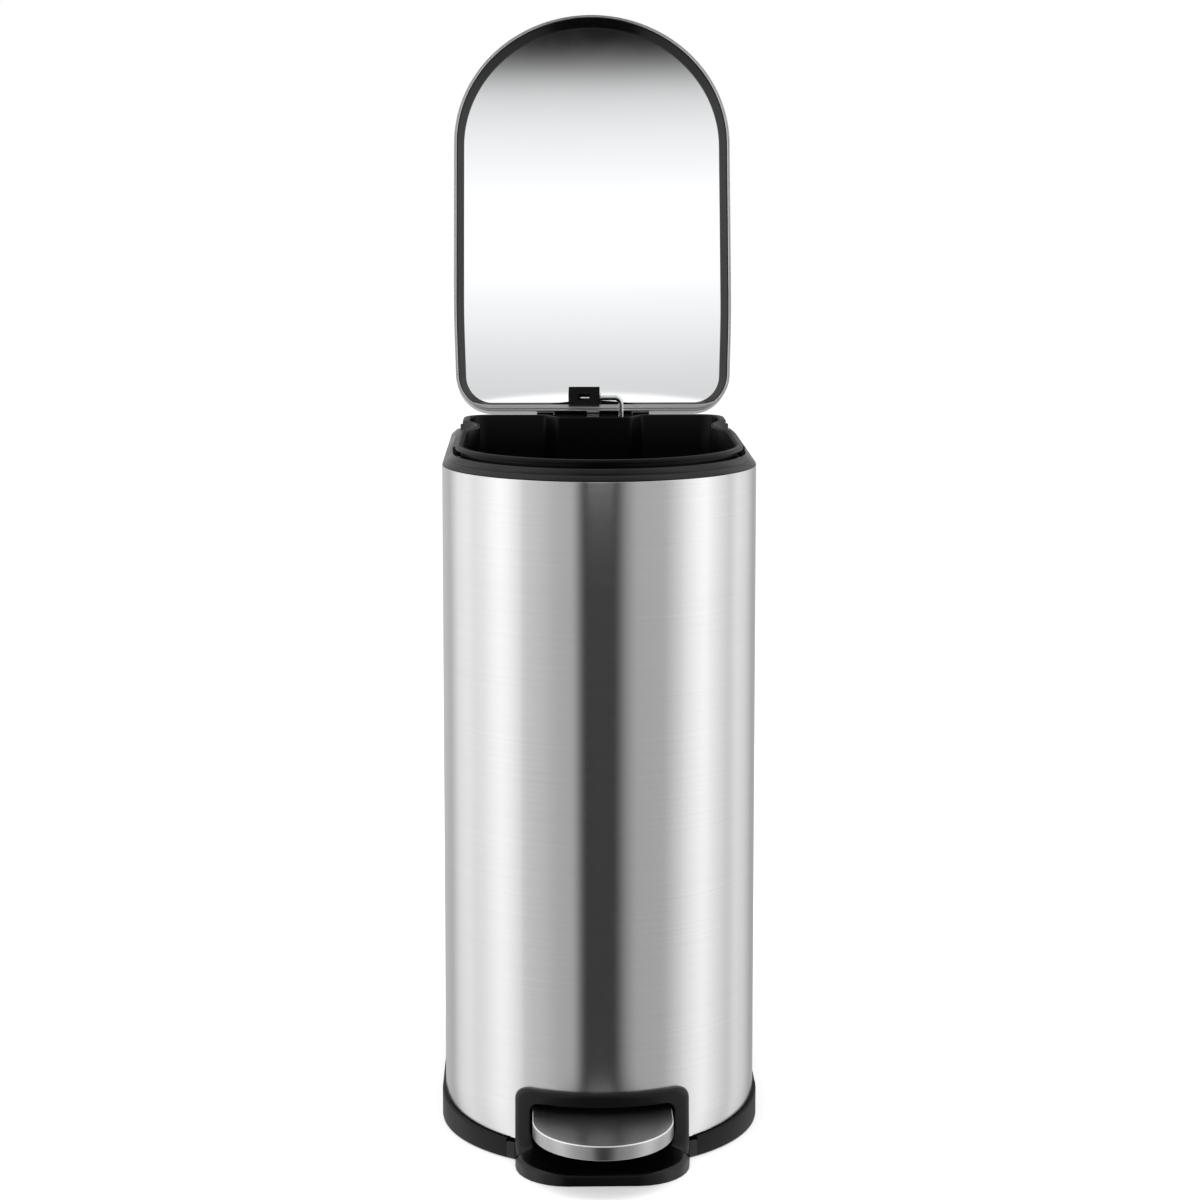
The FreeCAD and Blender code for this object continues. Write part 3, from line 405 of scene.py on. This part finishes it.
# ---- pieces -----------------------------------------------------------------------------------------


def dip(points, low_at_front, reach=128.0):
    """How far an edge has fallen towards the front of the arch: 0 at the widest place, growing evenly."""
    return -low_at_front * np.clip(-points[:, 1] / reach, 0, 1)


class MakeBody(bpy.types.Operator):
    """Brushed steel body, the seam down its back and the black ring that it stands on."""

    bl_idname = "trash_can.make_body"
    bl_label = "Body"

    def execute(self, context):
        outline = plan(HALF_WIDTH, ARCH, BACK, CORNER, marks=(-66.6, -66, 66, 66.6))
        # Rows as (offset, height, share of the dip): both hems are turned in a little.
        rows = [(-0.45, 26.3, 1), (-0.12, 26.45, 1), (0, 26.9, 1), (0, 44, 0.4), (0, 58, 0), (0, 58.6),
                (0, 59.2), (0, 120), (0, 240), (0, 360), (0, 480), (0, BODY_TOP - 0.6),
                (-0.12, BODY_TOP - 0.15), (-0.45, BODY_TOP)]
        wall = carry(outline, rows, dip(outline[0], 10.8))

        def mouth(middle):
            """Where the pedal comes out of the front."""
            return (abs(middle[:, 0]) < 66) & (middle[:, 1] < 0) & (middle[:, 2] < 58)
        body = new_piece("body_skin", "body", "brushed_steel", ["outer_shell"],
                         (wall, sheet(wall, holes=mouth)))
        hem = body.modifiers.new("sheet", "SOLIDIFY")
        hem.thickness, hem.offset = context.scene.trash_can_sizes.sheet, -1
        x = np.linspace(8, -8, 15)
        ridge = [np.column_stack([x, BACK + 0.4 * np.clip(1 - (x / 8) ** 8, 0, 1) - 0.02, 0 * x + z])
                 for z in (27, 200, 400, 551)]
        ridge = np.stack(ridge)
        new_piece("body_seam", "body", "brushed_steel", (), (ridge, sheet(ridge, wrap_columns=False)))
        self.make_ring()
        return {"FINISHED"}

    def make_ring(self):
        """The ring's section is a loop: outer face, rounded lip, ledge under the steel and its spigot."""
        outline = plan(HALF_WIDTH, ARCH, BACK, CORNER, marks=(-79, 79))
        section = [(-3.8, 0), (1.9, 0, 0), (2.7, 0.5, 0), (3, 1.6, 0), (3, 23.6, 1), (2.75, 24.7, 1),
                   (2.1, 25.35, 1), (1.4, 25.5, 1), (-1.3, 25.5, 1), (-1.3, 42, 0), (-3.8, 42, 0)]
        ring = stretch(outline, (79, -103.8), (-79, -103.8))
        grid = carry(ring, section, dip(ring[0], 11.3, 134))
        ends = sheet(grid, wrap_rows=True, wrap_columns=False, sides=True)
        sharpen(new_piece("base_band", "body", "black_plastic", ["base_ring"], (grid, ends)))


def on_body(x, proud):
    """Front surface of the body, moved outwards: y for each x."""
    half, arch = HALF_WIDTH + proud, ARCH + proud
    return -arch * np.sqrt(np.clip(1 - (x / half) ** 2, 0.0, 1))


def hoop_line(points, reach, fill=6):
    """One edge of the pedal hoop from the top middle, down the right side, to the bottom middle, with its
    corners rounded and its runs divided evenly."""
    line = rounded(points, reach, steps=9, most=0.99)
    t = np.arange(len(line))
    dense = np.unique(np.concatenate([t, np.linspace(0, 1, fill), np.linspace(9, 10, fill),
                                      np.linspace(len(line) - 2, len(line) - 1, fill)]))
    return np.column_stack([np.interp(dense, t, line[:, axis]) for axis in range(3)])


class MakePedal(bpy.types.Operator):
    """Black hoop round the pedal, the foot in front of it and the pedal's brushed cover."""

    bl_idname = "trash_can.make_pedal"
    bl_label = "Pedal"

    def execute(self, context):
        low, high = corners("pedal_housing")
        top, front = high[2], -168.0
        side = on_body(73.0, 5)
        foot_round = context.scene.trash_can_sizes.foot_round / MM
        # Edges of the hoop: opening, front face, side face on the steel and on the floor.
        shoulder = hoop_line([(0, side, top), (73, side, top), (73, side, 10.8), (72.6, front, 10.8),
                              (0, front, 10.8)], (11, 17, foot_round))
        back = hoop_line([(0, side, top), (73, side, top), (73, side, 0), (72.6, front, 0), (0, front, 0)],
                         (11, 4, foot_round))
        opening = hoop_line([(0, side, 52.2), (60.2, side, 52.2), (60.2, side, 21), (51, side, 11),
                             (0, side, 11)], (7, 7, 7))
        # Above the foot the edges follow the round of the body.
        upper = shoulder[:, 2] > 26
        shoulder[upper, 1] = on_body(shoulder[upper, 0], 5)
        back[:, 1] = np.where(upper, on_body(back[:, 0], -0.3), back[:, 1])
        opening[:, 1] = on_body(opening[:, 0], 4.4)
        deep = opening.copy()
        deep[:, 1] = -94
        behind = deep + (shoulder - opening) * 0.02
        under = back.copy()
        under[:, 1] = np.where(upper, on_body(back[:, 0], -0.6),
                               np.minimum(back[:, 1] + 6, on_body(back[:, 0], 0)))
        half = np.stack([under, back, shoulder, opening, deep, behind])
        whole = np.concatenate([half, (half * [-1, 1, 1])[:, ::-1][:, 1:-1]], axis=1)
        grid = rounded(whole, (0.3, 4.2, 1.6, 0.2), steps=7)
        flanges = []
        outline = plan(HALF_WIDTH, ARCH, BACK, CORNER, marks=(-78.8, -72, 72, 78.8))
        section = [(-3.8, 0), (1.9, 0), (2.7, 0.5), (3, 1.6), (3, 12.8), (2.75, 13.8), (2.1, 14.45),
                   (1.4, 14.6), (-3.8, 14.6)]
        for first, last in ((72, 78.8), (-78.8, -72)):
            part = stretch(outline, (first, on_body(first, 0)), (last, on_body(last, 0)))
            flange = carry(part, section)
            flanges.append((flange, sheet(flange, wrap_rows=True, wrap_columns=False, sides=True)))
        hoop = new_piece("pedal_hoop", "body", "satin_black_plastic", ["pedal_housing"],
                         (grid, sheet(grid, wrap_rows=True)), *flanges)
        sharpen(hoop, 50)
        self.make_cover(context.scene.trash_can_sizes.pedal_bend / MM)
        return {"FINISHED"}

    def make_cover(self, bend):
        """The cover's plan is a half ellipse with straight sides; its section turns from the skirt over a
        tight bend to the flat top."""
        low, high = corners("pedal_plate")
        centre, half = -140.5, high[0]
        points, normals = plan(half, 57.5, -97 - centre, 1.2)
        outline = points + [0, centre], normals
        top = high[2]
        section = rounded([(-1.2, top - 2.5), (-1.2, 34), (0, 34), (0, top), (-9, top)],
                          (0.15, 0.4, bend), steps=7)
        grid = carry(outline, np.vstack([section, [(-9.5, top)]]))
        cover = new_piece("pedal_cover", "pedal", "brushed_steel", ["pedal_plate"],
                          (grid, sheet(grid, last=True)))
        cover.data.materials.clear()
        for name in ("brushed_pedal_steel", "brushed_skirt_steel", "painted_highlight_edge_steel"):
            cover.data.materials.append(bpy.data.materials[name])
        # Faces by how far they look up: the flat top with its painted shade, then the bend with its painted
        # highlight, then the skirt.
        rise = np.zeros(len(cover.data.polygons) * 3)
        cover.data.polygons.foreach_get("normal", rise)
        rise = abs(rise[2::3])
        top_bend_skirt = np.where(rise > 0.93, 0, np.where(rise > 0.2, 2, 1))
        cover.data.polygons.foreach_set("material_index", top_bend_skirt)


class MakeRim(bpy.types.Operator):
    """Black collar on the steel, the rim that a bag is tucked under and the bucket that lifts out."""

    bl_idname = "trash_can.make_rim"
    bl_label = "Rim and bucket"

    def execute(self, context):
        outline = plan(HALF_WIDTH, ARCH, BACK, CORNER, marks=(-37.4, -37, 37, 37.4))
        points = outline[0]
        linkage = (abs(points[:, 0]) < 37.2) & (points[:, 1] > 200)
        inner = np.where(linkage, -2.4, -10.0)
        base = BODY_TOP + 0.2
        collar = [(inner, 576.3), (-1, 576.3), (-1, base), (-0.55, base), (-0.3, base + 0.35), (-0.35, 577.1),
                  (np.maximum(inner, -4.3), 580.5), (np.maximum(inner, -4.6), 580.85),
                  (np.maximum(inner, -5.1), COLLAR_TOP), (np.minimum(inner + 0.4, -2.2), COLLAR_TOP),
                  (inner, 580.6)]
        grid = carry(outline, collar)
        sharpen(new_piece("rim_collar", "body", "satin_black_plastic", ["top_collar"],
                          (grid, sheet(grid, wrap_rows=True))), 60)
        front = stretch(outline, (-HALF_WIDTH, 6), (HALF_WIDTH, 6))
        tuck = [(-9.5, 581.02), (-5.6, 581.02), (-5.6, 582.0), (-5.7, 582.5), (-8.4, 585.3), (-8.75, 585.8),
                (-9.1, 586), (-9.5, 585.7)]
        grid = carry(front, tuck)
        sharpen(new_piece("bag_tuck", "body", "satin_black_plastic", ["bag_rim"],
                          (grid, sheet(grid, wrap_rows=True, wrap_columns=False, sides=True))), 60)
        self.make_bucket(context.scene.trash_can_sizes.bucket_rim / MM)
        return {"FINISHED"}

    def bucket_line(self, inset, grow, recess):
        """Bucket outline at one height. The back steps forward to clear the linkage: flank lines
        x = CHANNEL_HALF + grow + CHANNEL_FLARE (y - CHANNEL_FACE). A circle of radius recess beside the wall
        pushes each side in for the fingers; the two are joined by a soft minimum,
        -k log(exp(-a/k) + exp(-b/k)) with k = 0.9."""
        points, normals = plan(HALF_WIDTH, ARCH, BACK, CORNER)
        points = points - inset * normals
        x, y = points.T
        if recess:
            away = np.sqrt(np.clip(recess ** 2 - (y - FINGERS_Y) ** 2, 0, None))
            limit = np.where(abs(y - FINGERS_Y) < recess, FINGERS_X - away, 400.0)
            side = abs(x)
            soft = -0.9 * np.logaddexp(-side / 0.9, -limit / 0.9)
            x = np.sign(x) * np.where((y > 60) & (y < BACK - CORNER), soft, side)
        back_y = BACK - inset
        face = CHANNEL_FACE - grow
        wide = CHANNEL_HALF + grow + CHANNEL_FLARE * (back_y - face)
        right = (normals[:, 1] > 0.999) & (x > 0)
        left = (normals[:, 1] > 0.999) & (x <= 0)
        ends = HALF_WIDTH - CORNER
        flank = rounded([(ends, back_y), (wide, back_y), (CHANNEL_HALF + grow, face), (0, face)],
                        3.0, steps=7)
        channel = np.vstack([flank, (flank * [-1, 1])[::-1][1:]])
        first, last = int(np.argmax(right)), int(np.nonzero(left)[0][-1])
        return np.vstack([np.column_stack([x, y])[:first], channel, np.column_stack([x, y])[last + 1:]])

    def make_bucket(self, rim):
        """Rows run up the outside, out under the flange, over the rim and down the inside to the floor."""
        floor = 78.0
        y = self.bucket_line(16, 0, 0)[:, 1]
        wing = np.clip((y - 9) / 1.5, 0, 1) * np.clip((200 - y) / 1.5, 0, 1)
        # Rows as (inset, growth of the channel, radius of the finger recess, height). Between the places
        # where wing is 1 the flange reaches further out than the wall.
        rows = [(25, 0, 0, floor), (16.6, 0, 0, rim - 44), (16.4, 0, 0, rim - 30), (16.4, 0, 80, rim - 28),
                (16, 0, 80, COLLAR_TOP + 0.2), ("wing", 0, 80, COLLAR_TOP + 0.3), ("wing", 0, 80, rim - 4.0),
                (11.9, 0, 80, rim - 3.4), (11.5, 0, 80, rim - 3.0), (11.5, 0, 80, rim - 1.4),
                (11.9, 0.1, 80.3, rim - 0.5), (12.8, 0.4, 81, rim - 0.05), (14.5, 0.9, 81.9, rim),
                (16.6, 1.6, 82.8, rim - 0.1), (17.6, 2.1, 83.6, rim - 0.6), (18, 2.3, 84, rim - 1.6),
                (18.2, 2.3, 84, rim - 34), (18.6, 2.3, 82, rim - 39), (18.8, 2.3, 0, rim - 44),
                (26.4, 2.3, 0, floor + 8), (27.4, 2.3, 0, floor + 3.4), (30, 2.4, 0, floor + 2)]
        grid = []
        for inset, grow, recess, height in rows:
            if inset == "wing":
                line = (self.bucket_line(16, grow, recess) * (1 - wing[:, None])
                        + self.bucket_line(8.6, grow, recess) * wing[:, None])
            else:
                line = self.bucket_line(inset, grow, recess)
            grid.append(np.column_stack([line, np.full(len(line), height)]))
        grid = np.stack(grid)
        sharpen(new_piece("bucket", "body", "bucket_plastic", ["inner_bucket"],
                          (grid, sheet(grid, first=True, last=True))), 55)


def lid_plan():
    """The lid's outline, which narrows a little towards the hinge: x shrinks by up to 2%."""
    points, normals = plan(134.2, 127.4, 262.3, CORNER)
    t = np.clip((points[:, 1] - 150) / 112, 0, 1)
    return points * np.column_stack([1 - 0.02 * t * t * (3 - 2 * t), t * 0 + 1]), normals


class MakeLid(bpy.types.Operator):
    """Lid of steel sheet with a rolled rim, its black band and the polished lining."""

    bl_idname = "trash_can.make_lid"
    bl_label = "Lid"

    def execute(self, context):
        outline = lid_plan()
        # The rolled rim is wider along the hinge: behind is 1 there and 0 round the rest.
        behind = np.clip((outline[1][:, 1] - 0.8) / 0.2, 0, 1)
        skin = self.section([(-2.6, 584), (-2.6, 581.1), (-1.4, 581), (-1.1, 581.7), (-0.7, 581), (0, 581.1),
                             (0, 617), (-30, 617)], (3.7, 3.7, 1.2, 1.0, 0.8, 0, 0, 0), behind)
        skin = rounded(skin, (0.8, 0.25, 0.2, 0.25, 0.35, 8), steps=7)
        skin = np.concatenate([skin, skin[-1:] - [1.0, 0.0]])
        grid = opened(carry(outline, [(row[:, 0], row[:, 1]) for row in skin]))
        new_piece("lid_skin", "lid", "lid_steel", ["lid_shell"], (grid, sheet(grid, last=True)))
        band = self.section([(-1.2, 594), (-1.2, 582.6), (-3.3, 582.6), (-6.3, 587.5), (-9.6, 592.6),
                             (-9.6, 595.6), (-1.2, 595.6)], (0, 0, 3.5, 1.9, 0, 0, 0), behind)
        band = rounded(band, (0.3, 0.7, 2.2, 1.0, 0.2), steps=5)
        grid = opened(carry(outline, [(row[:, 0], row[:, 1]) for row in band]))[::-1]
        band = new_piece("lid_band", "lid", "black_plastic", ["lid_frame"],
                         (grid, sheet(grid, wrap_rows=True)))
        band.data.materials[0] = bpy.data.materials["band_black_plastic"]
        sharpen(band, 60)
        self.make_lining(outline)
        return {"FINISHED"}

    def section(self, points, more, behind):
        """Profile points for each column of the outline, moved in by more times behind."""
        points = np.array(points, float)
        off = points[:, :1] - np.array(more, float)[:, None] * behind
        return np.stack([off, np.broadcast_to(points[:, 1:], off.shape)], axis=-1)

    def make_lining(self, outline):
        """The lining is flat, except that below a shallow arc near the hinge it leans out by 2 degrees:
        z = 595 - 0.035 (distance past y = 244 + 7 (x / 109)^2), eased in."""
        rows = [carry(outline, [(-5.6, 595.0)])[0]]
        rows += [rows[0] * [k, 1, 1] for k in np.linspace(1, 0, 40)[1:]]
        grid = np.stack(rows)
        past = grid[..., 1] - (244 + 7 * (grid[..., 0] / 109) ** 2)
        grid[..., 2] -= 0.035 * (np.sqrt(past ** 2 + 0.5) + past) / 2
        grid[..., 2] = np.minimum(grid[..., 2], 595)
        new_piece("lid_lining", "lid", "polished_steel", ["lid_liner"], (opened(grid), sheet(grid)))


class MakeRod(bpy.types.Operator):
    """Bent wire that lifts the lid."""

    bl_idname = "trash_can.make_rod"
    bl_label = "Push rod"

    def execute(self, context):
        x, y, head, bend, radius = 26.5, 254.3, 608.0, 6.0, context.scene.trash_can_sizes.rod / MM
        path = rounded([(x, y, 57), (x, y, head), (-13.5, y, head)], bend, steps=12)
        along = np.gradient(path, axis=0)
        along /= np.linalg.norm(along, axis=1, keepdims=True)
        across = np.tile([0.0, 1.0, 0.0], (len(path), 1))
        third = np.cross(along, across)
        a = np.linspace(0, 2 * math.pi, 24, endpoint=False)[None, :, None]
        circle = np.cos(a) * across[:, None] + np.sin(a) * third[:, None]
        grid = path[:, None] + radius * circle
        ends = [path[i] + k * along[i] * 0.5 + (radius - 0.5) * circle[i] for i, k in ((0, -1), (-1, 1))]
        grid = np.concatenate([ends[0][None], grid, ends[1][None]])
        grid[0, :, 2] = 57
        new_piece("rod_wire", "push_rod", "chrome_wire", ["push_rod"],
                  (grid, sheet(grid, first=True, last=True)))
        return {"FINISHED"}


# ---- stage ------------------------------------------------------------------------------------------

# Overall strength of the surroundings.
SKY = 1.75
# Brightness of the surroundings by the direction they lie in: degrees to the right of straight ahead of the
# can's front, then degrees above the floor for the strip that the open lid mirrors.
AROUND = [(-180, 0.34), (-156, 0.36), (-139, 0.34), (-124, 0.60), (-111, 0.66), (-100, 0.60), (-91, 0.65),
          (-83, 0.74), (-75, 0.80), (-68, 0.74), (-61, 0.63), (-54, 0.46), (-41, 0.40), (-30, 0.33),
          (-19, 0.31), (-15, 0.15), (-11, 0.03), (10, 0.03), (14, 0.11), (18, 0.20), (25, 0.30), (45, 0.32),
          (52, 0.42), (58, 0.52), (65, 0.64), (72, 0.73), (79, 0.79), (87, 0.68), (106, 0.47), (117, 0.60),
          (131, 0.52), (150, 0.28)]
UPWARDS = [(10, 0.02), (14, 0.30), (18.4, 0.42), (19, 0.45), (19.6, 0.50), (20.2, 0.555), (20.8, 0.60),
           (21.4, 0.665), (22.7, 0.68), (23.6, 0.60), (24.2, 0.555), (24.7, 0.505), (25.0, 0.465),
           (25.3, 0.41), (25.6, 0.30), (25.9, 0.16), (26.15, 0.06), (26.5, 0.006), (27, 0.002), (34, 0.02),
           (50, 0.35)]


class MakeStage(bpy.types.Operator):
    """Pale floor, soft studio light and the camera."""

    bl_idname = "trash_can.make_stage"
    bl_label = "Stage"

    def execute(self, context):
        self.make_floor()
        self.make_sky(context.scene)
        self.make_camera(context.scene)
        return {"FINISHED"}

    def make_floor(self):
        """A wide pale disc: rings of points at growing radii."""
        radius = np.concatenate([[0.01], np.geomspace(0.3, 14.0, 20)])[:, None] / MM
        a = np.linspace(0, 2 * math.pi, 96, endpoint=False)[None]
        rings = np.stack([radius * np.cos(a), radius * np.sin(a), 0 * radius * a - 0.3], axis=-1)
        tree, output = new_finish("pale_floor")
        shader = add(tree, "ShaderNodeBsdfPrincipled", Base_Color=(0.9, 0.9, 0.9, 1), Roughness=0.6,
                     Emission_Color=(1, 1, 1, 1), Emission_Strength=0.42)
        tree.links.new(shader.outputs[0], output.inputs[0])
        mesh = bpy.data.meshes.new("floor")
        mesh.from_pydata((rings.reshape(-1, 3) * MM).tolist(), [], [face[::-1] for face in sheet(rings)])
        mesh.materials.append(bpy.data.materials["pale_floor"])
        floor = bpy.data.objects.new("floor", mesh)
        floor.visible_glossy = False
        bpy.context.scene.collection.objects.link(floor)

    def make_sky(self, scene):
        """Studio surroundings as brightness by direction: a dark middle in front, a grey field beside it, a
        tall softbox on each side, a band of light high in front, and an even glow overhead."""
        world = bpy.data.worlds.new("studio")
        scene.world = world
        world.use_nodes = True
        tree = world.node_tree
        tree.nodes.clear()
        way = add(tree, "ShaderNodeSeparateXYZ", {0: add(tree, "ShaderNodeTexCoord").outputs["Generated"]})
        toward = add(tree, "ShaderNodeMath", {0: way.outputs[1]}, operation="MULTIPLY")
        toward.inputs[1].default_value = -1
        turn = add(tree, "ShaderNodeMath", {0: way.outputs[0], 1: toward.outputs[0]}, operation="ARCTAN2")
        lift = add(tree, "ShaderNodeMath", {0: way.outputs[2]}, operation="ARCSINE")

        def by_angle(angle, low, high, stops):
            """Brightness at an angle, from its stops in degrees."""
            part = add(tree, "ShaderNodeMapRange", {0: angle},
                       From_Min=math.radians(low), From_Max=math.radians(high))
            ramp = add(tree, "ShaderNodeValToRGB", {0: part.outputs[0]})
            band = ramp.color_ramp
            band.elements.remove(band.elements[1])
            band.elements[0].color = (stops[0][1],) * 3 + (1,)
            for degrees, level in stops[1:]:
                band.elements.new((degrees - low) / (high - low)).color = (level, level, level, 1)
            return ramp.outputs[0]
        around = by_angle(turn.outputs[0], -180, 180, AROUND)
        high = by_angle(lift.outputs[0], 0, 60, UPWARDS)
        side = add(tree, "ShaderNodeMath", {0: turn.outputs[0]}, operation="ABSOLUTE")
        # Soft steps from 0 to 1: up to the strip, in from its sides, and up to the glow overhead.
        above, inside, overhead = (
            add(tree, "ShaderNodeMapRange", {0: angle.outputs[0]}, interpolation_type="SMOOTHSTEP",
                From_Min=math.radians(low), From_Max=math.radians(top)).outputs[0]
            for angle, low, top in ((lift, 10, 14), (side, 11, 8), (lift, 55, 85)))
        front = add(tree, "ShaderNodeMath", {0: above, 1: inside}, operation="MULTIPLY")
        wall = add(tree, "ShaderNodeMix", {0: front.outputs[0], 6: around, 7: high}, data_type="RGBA")
        glow = add(tree, "ShaderNodeMix", {0: overhead, 6: wall.outputs[2]}, data_type="RGBA")
        glow.inputs[7].default_value = (0.5, 0.5, 0.5, 1)
        low_down = add(tree, "ShaderNodeMapRange", {0: lift.outputs[0]}, From_Min=math.radians(-24),
                       From_Max=math.radians(-8), To_Min=0.84 * SKY, To_Max=SKY)
        light = add(tree, "ShaderNodeBackground", {0: glow.outputs[2], 1: low_down.outputs[0]})
        white = add(tree, "ShaderNodeBackground", Color=(1, 1, 1, 1), Strength=1.0)
        seen = add(tree, "ShaderNodeLightPath").outputs["Is Camera Ray"]
        both = add(tree, "ShaderNodeMixShader", {0: seen, 1: light.outputs[0], 2: white.outputs[0]})
        add(tree, "ShaderNodeOutputWorld", {0: both.outputs[0]})
        lamp = bpy.data.lights.new("overhead_softbox", "AREA")
        lamp.shape, lamp.size, lamp.size_y, lamp.energy = "RECTANGLE", 1.8, 1.4, 26
        holder = bpy.data.objects.new("overhead_softbox", lamp)
        holder.location = (0.0, -0.2, 2.7)
        holder.visible_glossy = False
        scene.collection.objects.link(holder)

    def make_camera(self, scene):
        camera = bpy.data.cameras.new("camera")
        camera.lens, camera.sensor_width = 75.81, 36
        camera.shift_y = -0.1464
        holder = bpy.data.objects.new("camera", camera)
        holder.location = (-0.0479, -2.15824, 0.84123)
        holder.rotation_euler = (math.radians(90 - 6.12), 0, math.radians(-1.29))
        scene.collection.objects.link(holder)
        scene.camera = holder
        scene.view_settings.view_transform = "Standard"


class TrashCanPanel(bpy.types.Panel):
    """Lists the pieces, in the order in which they are made."""

    bl_label = "Trash Can"
    bl_idname = "VIEW3D_PT_trash_can"
    bl_space_type = "VIEW_3D"
    bl_region_type = "UI"
    bl_category = "Trash Can"

    def draw(self, context):
        for operator in OPERATORS:
            self.layout.operator(operator.bl_idname)


OPERATORS = (MakeFinishes, MakeBody, MakePedal, MakeRim, MakeLid, MakeRod, MakeStage)
GROUPS = {"trash_can_finishes": Finishes, "trash_can_sizes": Sizes}


def register():
    for name, group in GROUPS.items():
        bpy.utils.register_class(group)
        setattr(bpy.types.Scene, name, bpy.props.PointerProperty(type=group))
    for item in (*OPERATORS, TrashCanPanel):
        bpy.utils.register_class(item)


def unregister():
    for item in (TrashCanPanel, *reversed(OPERATORS)):
        bpy.utils.unregister_class(item)
    for name, group in GROUPS.items():
        delattr(bpy.types.Scene, name)
        bpy.utils.unregister_class(group)


def main():
    register()
    for operator in OPERATORS:
        namespace, name = operator.bl_idname.split(".")
        getattr(getattr(bpy.ops, namespace), name)()


if __name__ == "__main__":
    main()
